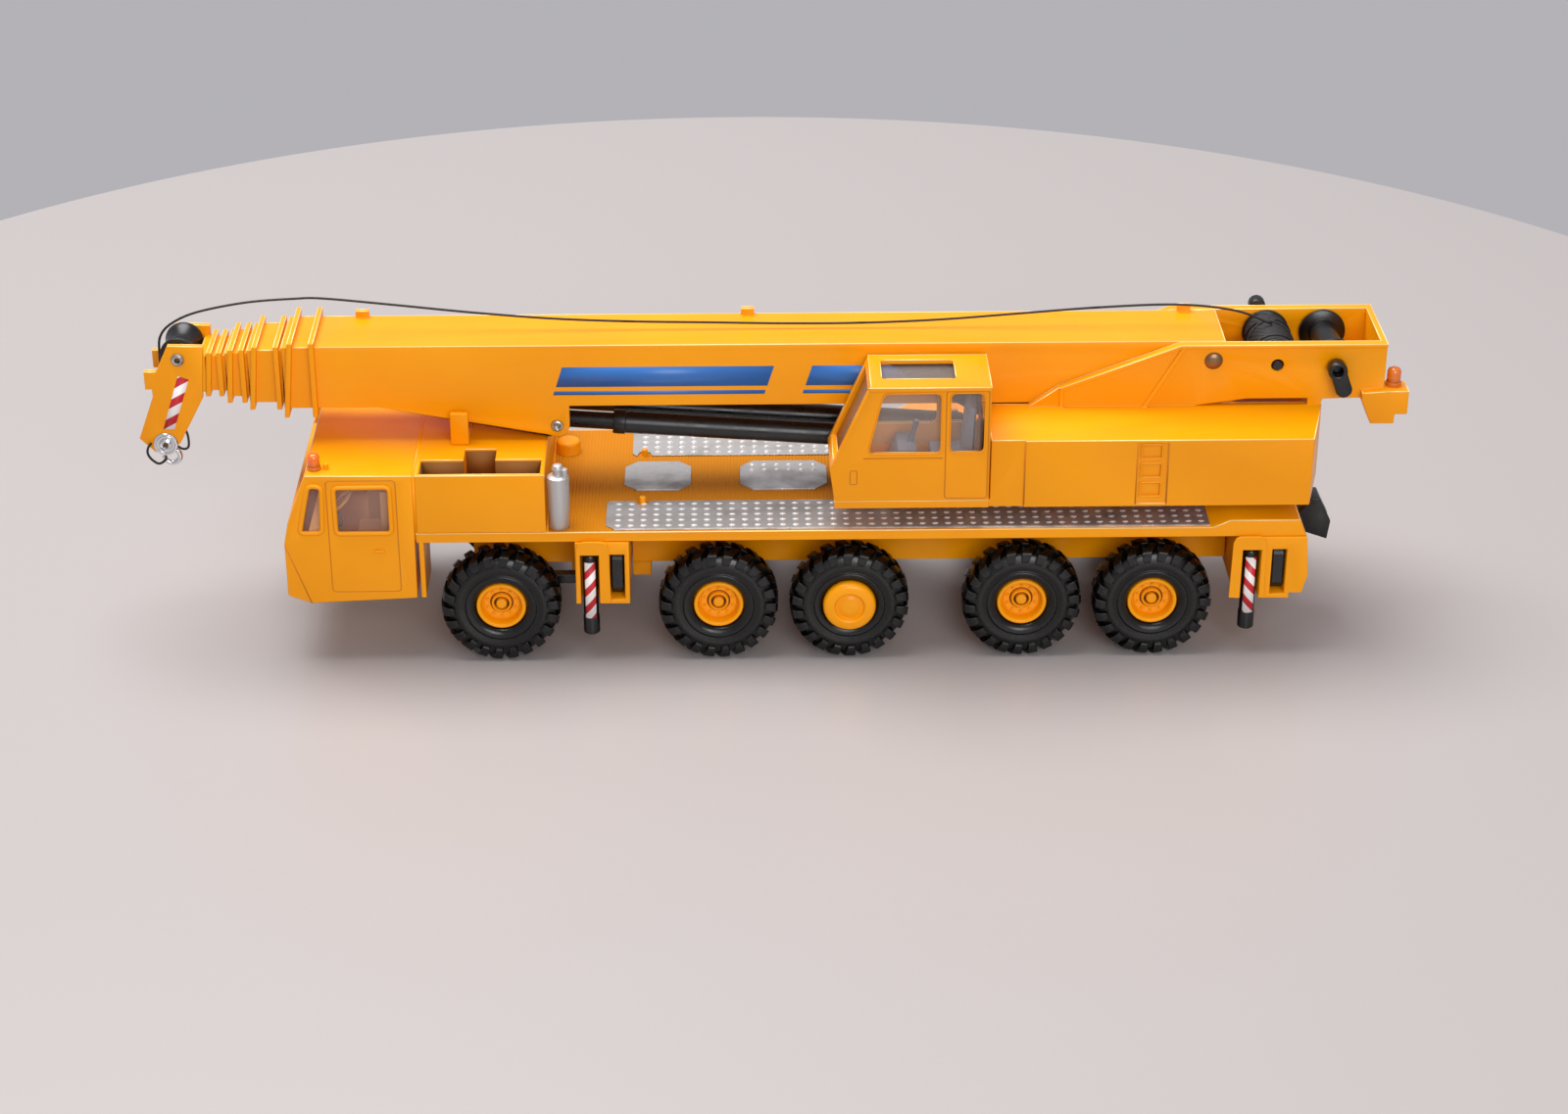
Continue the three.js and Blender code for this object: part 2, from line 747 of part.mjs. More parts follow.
function superstructure() {
  let body = join(upperBody(), cheeks(), winchBay(), liftMount());
  const ladder = [84.4, 91.7];
  const recess = 0.5;
  for (const { sign } of sides) {
    const face = [sign * (halfWidth + 1), sign * (halfWidth - recess)].sort((a, b) => a - b);
    const deep = [sign * (halfWidth + 1), sign * (halfWidth - 1)].sort((a, b) => a - b);
    body = cut(body, block([50, 58.2], face, [bedBottom - 1, panelTop + 1]));
    body = cut(body, block(ladder, face, [bedBottom + 0.8, panelTop - 0.8]));
    for (const step of [8.1, 13, 17.9]) {
      body = cut(body, block([ladder[0] + 1, ladder[1] - 1.4], deep, [step, step + 3.7]));
    }
  }
  body = cut(body, pin(boomPivot.x, boomPivot.z, pivotRadius + seat, -20, 20, 16));
  for (const { x } of winches) {
    body = cut(body, pin(x, winchHeight, winchShaft + slack, -20, 20, 16));
  }
  const well = kingpinRadius + slack;
  const head = kingpinRadius + 2;
  const drain = block([slewX, 135], [-1.5, 1.5], [bedTop, bedTop + 3.4]);
  body = cut(body, upright(rod(well, -1, bedTop + 1), slewX, 0));
  return cut(body, upright(rod(head, bedTop, bedTop + 3.4), slewX, 0), drain);
}

add('superstructure_body', superstructure(), paint);
add('rear_beacon', beacon(146.8, -cheekOut + 1.8, 28.2 + seat, 1.7, 4.4), amber);

function pivotPin() {
  const out = cheekOut + seat;
  const head = [[0, -out - 1], [1.2, -out - 1], [2.3, -out - 0.3], [2.3, -out]];
  const shank = [[pivotRadius, -out], [pivotRadius, out]];
  const peened = [[2.3, out], [2.3, out + 0.3], [1.2, out + 1], [0, out + 1]];
  return turned([...head, ...shank, ...peened], boomPivot.x, boomPivot.z);
}

add('boom_pivot_pin', pivotPin(), silver);

// ---------------------------------------------------------------- operator's cab

const opOutline = [
  [bodyFront - slack, bedTop + seat],
  [bodyFront - slack, 37.2],
  [21.9, 37.2],
  [12.6, 15.7],
  [cabFront, bedTop + seat],
];
const opFar = -halfWidth - 0.3;
const opNear = -boomHalf - 1;
const opWall = 1.2;

function operatorCab() {
  const inner = [opFar + opWall, opNear - opWall];
  let body = prism('y', opOutline, opFar, opNear);
  body = cut(body, prism('y', inset(opOutline, opWall), inner[0], inner[1]));
  const foot = [bedTop - 1, bedTop + 2];
  body = cut(body, block([cabFront + 1.6, bodyFront - slack - opWall], inner, foot));
  const side = [[24.9, 35.5], [21.3, 20], [38.4, 20], [38.4, 35.5]];
  const door = [[40.4, 35.5], [40.4, 20.2], [48.5, 20.2], [48.5, 35.5]];
  for (const window of [side, door]) body = cut(body, prism('y', window, -40, 0, 1.4));
  const screen = [[0, 17.5], [16.6, 17.5], [23.2, 35.4], [0, 35.4]];
  body = cut(body, prism('y', screen, opFar + 2.4, opNear - 2.4));
  const roof = [[24.7, -23.6], [41.8, -23.6], [41.8, -13.2], [24.7, -13.2]];
  body = cut(body, prism('z', roof, 35, 40, 1));
  const rear = [[-25, 26], [-13.4, 26], [-13.4, 34.6], [-25, 34.6]];
  body = cut(body, prism('x', rear, 47.5, 55, 1.2));
  const rail = block([21.4, bodyFront - slack], [opFar - 0.6, opFar + 0.2], [36.1, 37.2]);
  return join(body, rail);
}

function operatorGlazing() {
  const gap = opWall + slack;
  const sheet = 0.7;
  const out = [opFar + gap, opNear - gap];
  const shell = prism('y', inset(opOutline, gap), out[0], out[1]);
  const hollow = prism('y', inset(opOutline, gap + sheet), out[0] + sheet, out[1] - sheet);
  return cut(shell, hollow).intersect(block([0, 60], [-40, 0], [15, 40]));
}

function operatorSeat() {
  const middle = (opFar + opNear) / 2;
  const across = (half) => [middle - half, middle + half];
  return join(
    block([38.5, 45], across(2.6), [bedTop + seat, 14]),
    block([36.4, 46.2], across(4.6), [13.5, 17]),
    prism('y', [[43.6, 16], [46.4, 16], [46.9, 29.5], [44.9, 29.5]], ...across(4.4), 0.8),
  );
}

function operatorConsole() {
  const middle = (opFar + opNear) / 2;
  const desk = [[24.5, bedTop + seat], [30, bedTop + seat], [33.2, 19], [28.6, 19]];
  const lever = bar({ x: 31.4, z: 18.4 }, { x: 33.2, z: 24.6 }, middle, 0.7, 10);
  return join(prism('y', desk, middle - 5, middle + 5), lever);
}

add('operator_cab_shell', operatorCab(), paint);
add('operator_cab_glazing', operatorGlazing(), clear);
add('operator_seat', operatorSeat(), grey);
add('operator_console', operatorConsole(), grey);

// ---------------------------------------------------------------- winches

function winchDrum({ x, rope, crankSide }) {
  const drum = cheekIn - 0.6;
  const rim = drum - 1;
  const shaftEnd = (sign) => (sign === crankSide ? cheekOut + 0.6 + 1.4 : cheekOut + 0.2);
  const profile = [
    [0, -shaftEnd(-1)],
    [winchShaft, -shaftEnd(-1)],
    [winchShaft, -drum],
    [flangeRadius, -drum],
    [flangeRadius, -rim],
    [rope, -rim],
    [rope, rim],
    [flangeRadius, rim],
    [flangeRadius, drum],
    [winchShaft, drum],
    [winchShaft, shaftEnd(1)],
    [0, shaftEnd(1)],
  ];
  return turned(profile, x, winchHeight);
}

// A stubby crank: a rounded arm on the shaft's end, with its grip at the far end.
function winchCrank({ x, crankSide, lean }) {
  const inside = cheekOut + 0.6 + slack;
  const thick = 3.4;
  const throwOut = 5;
  const angle = THREE.MathUtils.degToRad(lean);
  const tip = { x: x + throwOut * Math.sin(angle), z: winchHeight + throwOut * Math.cos(angle) };
  const reach = [crankSide * inside, crankSide * (inside + thick)].sort((a, b) => a - b);
  const hub = pin(x, winchHeight, 2.3, ...reach);
  const grip = pin(tip.x, tip.z, 2, ...reach);
  const across = { x: 1.9 * Math.cos(angle), z: -1.9 * Math.sin(angle) };
  const arm = [
    [x - across.x, winchHeight - across.z],
    [x + across.x, winchHeight + across.z],
    [tip.x + across.x, tip.z + across.z],
    [tip.x - across.x, tip.z - across.z],
  ];
  const shaft = pin(x, winchHeight, winchShaft + seat, -20, 20, 16);
  return cut(join(hub, grip, prism('y', arm, ...reach)), shaft);
}

winches.forEach((winch, i) => {
  add(`winch_drum_${i + 1}`, winchDrum(winch), black);
  add(`winch_crank_${i + 1}`, winchCrank(winch), black);
});

// ---------------------------------------------------------------- boom

const boomTail = 106.3;

// Section 1 is the base. Each front collar leans forward at its foot, each rear one is upright.
const sections = [
  { front: -115.9, rear: boomTail, collars: [[-113.6, -115.3], [-108.6, -108.6]], proud: 1.7 },
  { front: -124.1, rear: 81, collars: [[-122.1, -123.5], [-117.1, -117.1]], proud: 1.35 },
  { front: -129.5, rear: 76, collars: [[-127.9, -128.9], [-125.4, -125.4]], proud: 1.2 },
  { front: -134.8, rear: 71, collars: [[-133.2, -134.1], [-130.9, -130.9]], proud: 1.1 },
];

function tube(index) {
  const { front, rear, collars, proud } = sections[index];
  const shrink = index * boomStep;
  const half = boomHalf - shrink;
  const [low, high] = [boomBottom + shrink, boomTop - shrink];
  const thick = 0.6; // half a collar's thickness
  const rings = collars.map(([top, foot]) =>
    prism(
      'y',
      [
        [foot - thick, low - proud],
        [foot + thick, low - proud],
        [top + thick, high + proud],
        [top - thick, high + proud],
      ],
      -half - proud,
      half + proud,
    ),
  );
  return join(block([front, rear], [-half, half], [low, high]), ...rings);
}

function bore(index, from, to) {
  const shrink = index * boomStep + boomWall;
  const half = boomHalf - shrink;
  return block([from, to], [-half, half], [boomBottom + shrink, boomTop - shrink]);
}

// The fairing under the base, with the fork that takes the heads of the lift rams.
function fairing() {
  const belly = [
    [-95.7, boomBottom + 0.4],
    [liftEye.x - 1.2, liftEye.z - lugRadius + 0.2],
    [liftEye.x + lugRadius, liftEye.z],
    [liftEye.x + lugRadius, boomBottom + 0.4],
  ];
  const lug = pin(liftEye.x, liftEye.z, lugRadius, -boomHalf, boomHalf, 16);
  const body = join(prism('y', belly, -boomHalf, boomHalf), lug);
  const fork = ramOffset + rodRadius + slack;
  const mouth = block([-74, -40], [-fork, fork], [10, boomBottom]);
  return cut(body, mouth, pin(liftEye.x, liftEye.z, 1.3, -20, 20, 14));
}

function boomBase() {
  const { front } = sections[0];
  const lugs = [-98.3, -6.2, 98.5].map((x) =>
    block([x - 1.6, x + 1.6], [boomHalf - 1.4, boomHalf], [boomTop - 0.5, boomTop + 1.8]),
  );
  const body = join(tube(0), fairing(), ...lugs);
  return cut(
    body,
    bore(0, front - 1, 88),
    pin(boomPivot.x, boomPivot.z, pivotRadius + slack, -20, 20, 16),
  );
}

// The innermost section ends in the head: two cheek plates with a web between them.
function headSection() {
  const plate = [
    [-142.8, 39.3],
    [-147.3, 29.8],
    [-147.3, 26.1],
    [-151.4, 15.3],
    [-147.8, 11.6],
    [-141.8, 13.9],
    [-135.5, 25.7],
    [-134.4, 39.1],
  ];
  const plates = twin(plate, headHalf - headPlate, headHalf);
  const nose = block([-148.9, -146], [-headHalf, headHalf], [28.1, 32.7]);
  const shrink = 3 * boomStep;
  const web = block(
    [-135.8, -134.2],
    [-headHalf + 0.2, headHalf - 0.2],
    [boomBottom + shrink, boomTop - shrink],
  );
  const noseBack = block([-150, -140], [-headHalf + headPlate, headHalf - headPlate], [20, 40]);
  let body = join(tube(3), web, ...plates, cut(nose, noseBack));
  for (const { x, z } of [headPin, hookPin]) {
    body = cut(body, pin(x, z, headPinRadius + seat, -20, 20, 12));
  }
  return cut(body, bore(3, -133, 72));
}

add('boom_base', boomBase(), paint);
add('boom_section_2', cut(tube(1), bore(1, -130, 90)), paint);
add('boom_section_3', cut(tube(2), bore(2, -135, 90)), paint);
add('boom_section_4', headSection(), paint);

function sheave() {
  const half = headHalf - headPlate - 0.5;
  const profile = [
    [headPinRadius + slack, -half],
    [sheaveRadius, -half],
    [sheaveRadius, -half + 1],
    [sheaveRadius - 1.3, -0.7],
    [sheaveRadius - 1.3, 0.7],
    [sheaveRadius, half - 1],
    [sheaveRadius, half],
    [headPinRadius + slack, half],
    [headPinRadius + slack, -half],
  ];
  return turned(profile, headPin.x, headPin.z);
}

function crossPin({ x, z }, washer) {
  const out = headHalf + seat;
  const half = [[headPinRadius, out], [washer, out], [washer, out + 0.6], [0, out + 0.6]];
  const mirrored = half.map(([r, y]) => [r, -y]).reverse();
  return turned([...mirrored, ...half], x, z, 12);
}

function hook() {
  const across = 1.7;
  const eye = pin(hookPin.x, hookPin.z, 2.2, -across, across, 16);
  const link = block([hookPin.x - 1.4, hookPin.x + 1.4], [-across, across], [hookPin.z - 4.4, hookPin.z]);
  const path = new THREE.CatmullRomCurve3(
    [
      [0, -3.6],
      [0.2, -5.4],
      [1.6, -6.6],
      [2, -8.4],
      [0.6, -9.8],
      [-1.4, -9.5],
      [-2.3, -7.9],
    ].map(([x, z]) => new THREE.Vector3(hookPin.x + x, 0, hookPin.z + z)),
  );
  const section = new THREE.Shape().absarc(0, 0, 0.65, 0, 2 * Math.PI);
  const bend = new THREE.ExtrudeGeometry(section, {
    extrudePath: path,
    steps: 14,
    curveSegments: 4,
    bevelEnabled: false,
  });
  const body = join(eye, link, solid(bend));
  return cut(body, pin(hookPin.x, hookPin.z, headPinRadius + slack, -20, 20, 16));
}

add('head_sheave', sheave(), black);
add('head_sheave_pin', crossPin(headPin, 1.7), silver);
add('hook_pin', crossPin(hookPin, 2.9), silver);
add('crane_hook', hook(), chrome);

// The hoist rope, from the top of the first winch over the head sheave and down to the hook.
function hoistRope() {
  const points = [
    [118.6, 39.9],
    [109.4, 43.5],
    [95.4, 45.1],
    [76.8, 44.5],
    [58.2, 43.1],
    [39.6, 41.7],
    [21, 41],
    [2.4, 41],
    [-16.2, 41.4],
    [-34.8, 41.8],
    [-53.3, 42.7],
    [-71.8, 44.4],
    [-90.2, 46.5],
    [-106.2, 48.2],
    [-113.1, 48.2],
    [-124.7, 47.3],
    [-136.4, 44.9],
    [-142.6, 42],
    [-145.4, 38.8],
    [-146, 34.6],
    [-145.9, 28],
    [-145.6, 21],
    [-145.3, 16.6],
  ];
  const path = new THREE.CatmullRomCurve3(points.map(([x, z]) => new THREE.Vector3(x, 0, z)));
  const section = new THREE.Shape().absarc(0, 0, ropeRadius, 0, 2 * Math.PI);
  return solid(
    new THREE.ExtrudeGeometry(section, {
      extrudePath: path,
      steps: 54,
      curveSegments: 4,
      bevelEnabled: false,
    }),
  );
}

add('hoist_rope', hoistRope(), black);

// ---------------------------------------------------------------- lift rams

const ramDirection = new THREE.Vector2(liftEye.x - liftPivot.x, liftEye.z - liftPivot.z).normalize();

function onRam(distance) {
  return {
    x: liftPivot.x + ramDirection.x * distance,
    z: liftPivot.z + ramDirection.y * distance,
  };
}

const ramLength = Math.hypot(liftEye.x - liftPivot.x, liftEye.z - liftPivot.z);
const barrelLength = ramLength - 13.2;

// Two barrels, tied by a plate near their feet and hollow for the rods.
function liftBarrels() {
  const offsets = [-ramOffset, ramOffset];
  const barrels = offsets.map((y) => bar(onRam(-barrelRadius), onRam(barrelLength), y, barrelRadius, 16));
  const bores = offsets.map((y) => bar(onRam(8), onRam(barrelLength + 1), y, boreRadius, 12));
  const tie = bar(onRam(9), onRam(13), 0, 1.2, 10);
  const strap = block([0, 4], [-ramOffset, ramOffset], [-1.2, 1.2]);
  const place = onRam(12);
  const body = join(...barrels, strap.translate([place.x - 2, 0, place.z]), tie);
  return cut(body, ...bores, pin(liftPivot.x, liftPivot.z, 1.1 + slack, -20, 20));
}

// Two rods, joined at their heads by the eye that reaches into the boom's fork.
function liftRods() {
  const offsets = [-ramOffset, ramOffset];
  const rods = offsets.map((y) => bar(onRam(10), onRam(ramLength), y, rodRadius - slack / 2, 12));
  const eye = pin(liftEye.x, liftEye.z, 2.2, -ramOffset - rodRadius, ramOffset + rodRadius, 16);
  return cut(join(...rods, eye), pin(liftEye.x, liftEye.z, 1.1, -20, 20, 14));
}

add('lift_barrels', liftBarrels(), black);
add('lift_rods', liftRods(), black);

const group = new THREE.Group();
group.add(carrier);
export default group;
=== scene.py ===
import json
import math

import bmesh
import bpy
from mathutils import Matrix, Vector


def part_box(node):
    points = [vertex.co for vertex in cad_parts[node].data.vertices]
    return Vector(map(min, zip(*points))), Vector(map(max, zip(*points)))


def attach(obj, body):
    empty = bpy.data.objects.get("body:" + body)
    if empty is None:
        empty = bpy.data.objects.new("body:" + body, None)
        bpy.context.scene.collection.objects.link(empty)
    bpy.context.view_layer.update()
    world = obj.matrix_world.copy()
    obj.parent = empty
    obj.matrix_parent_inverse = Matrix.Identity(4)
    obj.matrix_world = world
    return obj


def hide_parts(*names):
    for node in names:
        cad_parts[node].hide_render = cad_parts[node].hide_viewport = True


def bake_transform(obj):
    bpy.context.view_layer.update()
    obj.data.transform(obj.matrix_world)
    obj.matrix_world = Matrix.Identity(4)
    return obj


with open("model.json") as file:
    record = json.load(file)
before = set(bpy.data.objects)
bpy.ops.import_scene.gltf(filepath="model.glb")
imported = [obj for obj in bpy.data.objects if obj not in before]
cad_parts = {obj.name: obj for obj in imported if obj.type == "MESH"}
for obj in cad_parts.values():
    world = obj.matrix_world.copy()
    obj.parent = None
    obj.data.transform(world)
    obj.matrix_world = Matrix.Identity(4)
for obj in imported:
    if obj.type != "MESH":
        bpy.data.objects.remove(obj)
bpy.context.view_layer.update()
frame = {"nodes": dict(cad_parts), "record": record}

# %% [markdown]
# # A toy crane truck
# A collector's mobile crane at 1:50: glossy enamelled die-cast metal, a few plastic parts,
# embossed foil on the walkways and a thread for a hoist rope. The moving skeleton comes from
# the CAD frame, in metres. Every visible skin is built here, either as a bevelled copy of a
# CAD solid or as a finer mesh that stands for it.

scene = bpy.context.scene
scene.view_settings.view_transform = "Standard"

# %% [markdown]
# ## Units
# The toy is drawn in millimetres, as its maker would, and the scene is in metres. The deck's
# top face is the datum for everything that the wheels carry, so it is read from the frame.

# %% Millimetres and the datum
MM = 0.001
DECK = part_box("tread_strip_left")[0].z - 0.05 * MM
AXLES = [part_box(f"axle_{n}") for n in range(1, 6)]
AXLE_X = [(low.x + high.x) / 2 for low, high in AXLES]
AXLE_Z = (AXLES[0][0].z + AXLES[0][1].z) / 2
SIDES = {"left": -1, "right": 1}
UP = (0, 0, 1)


def mm(*values):
    """Millimetres to metres."""
    return Vector([value * MM for value in values])


def on_deck(x, y, z):
    """A point measured in millimetres from the deck's top face."""
    return Vector((x * MM, y * MM, DECK + z * MM))


def side_view(outline):
    """Points (x, z) in millimetres from the deck's top face, as metres."""
    return [(x * MM, DECK + z * MM) for x, z in outline]


def across(sign, near, far):
    """Two distances from the centre line, taken to one side, the lower value first."""
    return sorted((sign * near, sign * far))


def middle_of(node):
    low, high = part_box(node)
    return (low + high) / 2


print("deck at", round(DECK / MM, 2), "mm, axles at", [round(x / MM, 1) for x in AXLE_X])

# %% [markdown]
# ## Camera
# The toy is seen from its left side, a little from above. A long lens keeps its lines nearly
# parallel, which is how a maker's catalogue shows a model.

# %% Place the camera
camera_data = bpy.data.cameras.new("catalogue_camera")
camera_data.lens = 74.03
camera_data.sensor_width = 36
camera_data.clip_start = 0.01
camera = bpy.data.objects.new("catalogue_camera", camera_data)
scene.collection.objects.link(camera)
forward = Vector((0.0159, 0.8844, -0.4664)).normalized()
right = Vector((0.99984, -0.01798, 0)).normalized()
upward = right.cross(forward)
turn = Matrix((right, upward, -forward)).transposed().to_4x4()
camera_place = (-0.010244, -0.70269, 0.38314)
camera.matrix_world = Matrix.Translation(camera_place) @ turn
scene.camera = camera
print("camera height", round(camera.location.z, 3))

# %% [markdown]
# ## Colours and nodes
# Colours are written as the eye sees them, in sRGB hex, and one function turns them linear.
# One more function adds a node and sets or links its sockets. Two things that most finishes
# show, patches of another tone and a fine grain, are then written once, so that a material
# reads as a short list.

# %% Colour and node helpers
def linear(hex_colour):
    """An sRGB hex colour as linear RGBA."""
    parts = [int(hex_colour[i : i + 2], 16) / 255 for i in (1, 3, 5)]
    return [*(c / 12.92 if c <= 0.04045 else ((c + 0.055) / 1.055) ** 2.4 for c in parts), 1]


def add_node(tree, kind, inputs=(), **settings):
    """Add a node. inputs pairs each socket with a value or with another node's output."""
    made = tree.nodes.new(kind)
    for name, value in settings.items():
        setattr(made, name, value)
    for socket, value in dict(inputs).items():
        if isinstance(value, bpy.types.NodeSocket):
            tree.links.new(value, made.inputs[socket])
        else:
            made.inputs[socket].default_value = value
    return made


def material(name, colour, **sockets):
    """A material of one Principled shader. Returns it with its tree and its shader."""
    made = bpy.data.materials.new(name)
    made.use_nodes = True
    shader = made.node_tree.nodes["Principled BSDF"]
    shader.inputs["Base Color"].default_value = linear(colour)
    for socket, value in sockets.items():
        shader.inputs[socket.replace("_", " ")].default_value = value
    return made, made.node_tree, shader


def grey_level(value):
    return (value, value, value, 1)


def patches(tree, shader, socket, size_mm, detail, low, high, span):
    """Let a socket drift from low to high in blotches about size_mm across, fixed to the piece."""
    place = add_node(tree, "ShaderNodeTexCoord")
    blotch = add_node(
        tree,
        "ShaderNodeTexNoise",
        {"Vector": place.outputs["Object"], "Scale": 1 / (size_mm * MM), "Detail": detail},
    )
    made = add_node(tree, "ShaderNodeValToRGB", {"Fac": blotch.outputs["Fac"]})
    for end, position, colour in zip(made.color_ramp.elements, span, (low, high)):
        end.position = position
        end.color = colour
    tree.links.new(made.outputs["Color"], shader.inputs[socket])


def grain(tree, shader, size_mm, detail, depth_mm, strength):
    """Give the surface a relief about size_mm from crest to crest."""
    place = add_node(tree, "ShaderNodeTexCoord")
    height = add_node(
        tree,
        "ShaderNodeTexNoise",
        {"Vector": place.outputs["Object"], "Scale": 1 / (size_mm * MM), "Detail": detail},
    )
    relief = add_node(
        tree,
        "ShaderNodeBump",
        {"Height": height.outputs["Fac"], "Distance": depth_mm * MM, "Strength": strength},
    )
    tree.links.new(relief.outputs["Normal"], shader.inputs["Normal"])


# %% [markdown]
# ## Enamelled die-cast zinc
# The body parts are cast in zinc and sprayed with a thick, glossy stoving enamel. It dries
# with a faint orange peel, about 1 mm from crest to crest, and is duller where it is dusty. A
# thin clear coat over a slightly rough base gives the soft double highlight.

# %% Yellow enamel
def yellow_enamel():
    made, tree, shader = material(
        "stoved_yellow_enamel",
        "#f29a05",
        Roughness=0.34,
        IOR=1.5,
        Specular_IOR_Level=0.22,
        Coat_Weight=0.1,
        Coat_Roughness=0.08,
    )
    pale, deep = linear("#f49e00"), linear("#ed9400")
    patches(tree, shader, "Base Color", 38, 3, deep, pale, (0.3, 0.7))
    patches(tree, shader, "Roughness", 9, 5, grey_level(0.3), grey_level(0.44), (0.35, 0.75))
    grain(tree, shader, 1.1, 1, 0.012, 0.35)
    return made


ENAMEL = yellow_enamel()
print("made", ENAMEL.name)

# %% [markdown]
# ## Moulded plastics
# The wheels' rims are polystyrene coloured in the mass, a shade deeper than the paint. Rams,
# winches and outriggers are black ABS with a satin skin from the mould. The tyres are soft
# PVC that shines on the lugs, where fingers have polished it.

# %% Plastics
def rim_polystyrene():
    made, tree, shader = material(
        "moulded_yellow_polystyrene", "#f79e02", Roughness=0.26, Specular_IOR_Level=0.3
    )
    grain(tree, shader, 0.8, 2, 0.01, 0.3)
    return made


def black_abs():
    made, tree, shader = material("moulded_black_abs", "#0b0a0b", Roughness=0.3, IOR=1.5)
    patches(tree, shader, "Roughness", 4, 4, grey_level(0.22), grey_level(0.4), (0.3, 0.7))
    grain(tree, shader, 0.5, 2, 0.01, 0.3)
    return made


def tyre_pvc():
    made, tree, shader = material("soft_black_pvc", "#050505", Roughness=0.3, IOR=1.45)
    patches(tree, shader, "Roughness", 2.5, 4, grey_level(0.18), grey_level(0.4), (0.3, 0.7))
    grain(tree, shader, 0.4, 3, 0.02, 0.4)
    return made


def silver_plastic():
    made, tree, shader = material(
        "silver_lacquered_plastic", "#b9b7b6", Roughness=0.42, Metallic=0.55
    )
    grain(tree, shader, 0.6, 2, 0.015, 0.4)
    return made


RIM = rim_polystyrene()
BLACK = black_abs()
TYRE = tyre_pvc()
GREY = material("matt_grey_styrene", "#6b6e7b", Roughness=0.55, IOR=1.59)[0]
TAN = material("matt_tan_styrene", "#f2b274", Roughness=0.6, IOR=1.59)[0]
SILVER = silver_plastic()
print("made", RIM.name, BLACK.name, TYRE.name, GREY.name, SILVER.name)

# %% [markdown]
# ## Clear and amber polystyrene
# The glazing is one clear moulding, faintly smoky with age. The beacons are the same plastic
# dyed amber, which glows because light enters from all sides.

# %% Clear plastics
CLEAR = material(
    "smoky_clear_polystyrene", "#d8ccc4", Roughness=0.04, IOR=1.5, Alpha=0.11
)[0]
AMBER = material(
    "amber_polystyrene",
    "#ff8a26",
    Roughness=0.1,
    IOR=1.45,
    Transmission_Weight=0.45,
    Coat_Weight=0.5,
)[0]
print("made", CLEAR.name, AMBER.name)

# %% [markdown]
# ## Bare metals
# The walkways are covered with embossed aluminium foil, rubbed dull between its studs. The
# rivets are steel, browned by the lacquer over them, and the hook is chrome plated.

# %% Metals
def walkway_foil():
    made, tree, shader = material(
        "embossed_aluminium_foil", "#c9c7c5", Roughness=0.4, Metallic=0.72
    )
    dull, rubbed = linear("#a09d99"), linear("#d2d0ce")
    patches(tree, shader, "Base Color", 7, 6, dull, rubbed, (0.35, 0.62))
    patches(tree, shader, "Roughness", 7, 6, grey_level(0.55), grey_level(0.26), (0.35, 0.66))
    grain(tree, shader, 0.9, 3, 0.06, 0.7)
    return made


def rivet_steel():
    made, tree, shader = material("lacquered_rivet_steel", "#8f6f52", Roughness=0.38, Metallic=1.0)
    grain(tree, shader, 0.7, 2, 0.03, 0.5)
    return made


FOIL = walkway_foil()
# The studs, in brighter metal: partly rubbed bright on their crests, partly a painted glint.
STUD_RUB_AND_GLINT = material("rubbed_studs_with_painted_glint", "#f3f2f1", Roughness=0.22, Metallic=0.4)[0]
RIVET = rivet_steel()
ZINC = material("zinc_plated_steel", "#b3afaa", Roughness=0.3, Metallic=1.0)[0]
CHROME = material("chrome_plated_zinc", "#dcdde0", Roughness=0.12, Metallic=1.0)[0]
print("made", FOIL.name, RIVET.name, ZINC.name, CHROME.name)

# %% [markdown]
# ## Thread and printed film
# The hoist rope is waxed black thread: two plies, with a pitch near 1 mm. The warning strips
# are white vinyl printed with slanted red bars, and the band on the boom is printed in blue.

# %% Thread and film
def waxed_thread():
    made, tree, shader = material("waxed_black_thread", "#1b1716", Roughness=0.62)
    place = add_node(tree, "ShaderNodeTexCoord")
    twist = add_node(
        tree,
        "ShaderNodeTexWave",
        {"Vector": place.outputs["Object"], "Scale": 0.3 / MM, "Distortion": 0.4},
        bands_direction="DIAGONAL",
    )
    relief = add_node(
        tree,
        "ShaderNodeBump",
        {"Height": twist.outputs["Fac"], "Distance": 0.08 * MM, "Strength": 0.8},
    )
    tree.links.new(relief.outputs["Normal"], shader.inputs["Normal"])
    return made


def warning_film(name, slope, pitch_mm):
    """White vinyl with red bars; slope is the bars' rise along X per unit of run."""
    made, tree, shader = material(name, "#e6e1de", Roughness=0.42)
    place = add_node(tree, "ShaderNodeTexCoord")
    axes = add_node(tree, "ShaderNodeSeparateXYZ", {"Vector": place.outputs["Object"]})
    run = add_node(tree, "ShaderNodeMath", {0: axes.outputs["X"], 1: slope}, operation="MULTIPLY")
    level = add_node(
        tree, "ShaderNodeMath", {0: axes.outputs["Z"], 1: run.outputs[0]}, operation="SUBTRACT"
    )
    turns = add_node(
        tree, "ShaderNodeMath", {0: level.outputs[0], 1: 1 / (pitch_mm * MM)}, operation="MULTIPLY"
    )
    phase = add_node(tree, "ShaderNodeMath", {0: turns.outputs[0]}, operation="FRACT")
    bars = add_node(tree, "ShaderNodeValToRGB", {"Fac": phase.outputs[0]})
    inks = (linear("#c4202a"), linear("#f0ecea"))
    for end, position, colour in zip(bars.color_ramp.elements, (0.45, 0.49), inks):
        end.position = position
        end.color = colour
    tree.links.new(bars.outputs["Color"], shader.inputs["Base Color"])
    return made


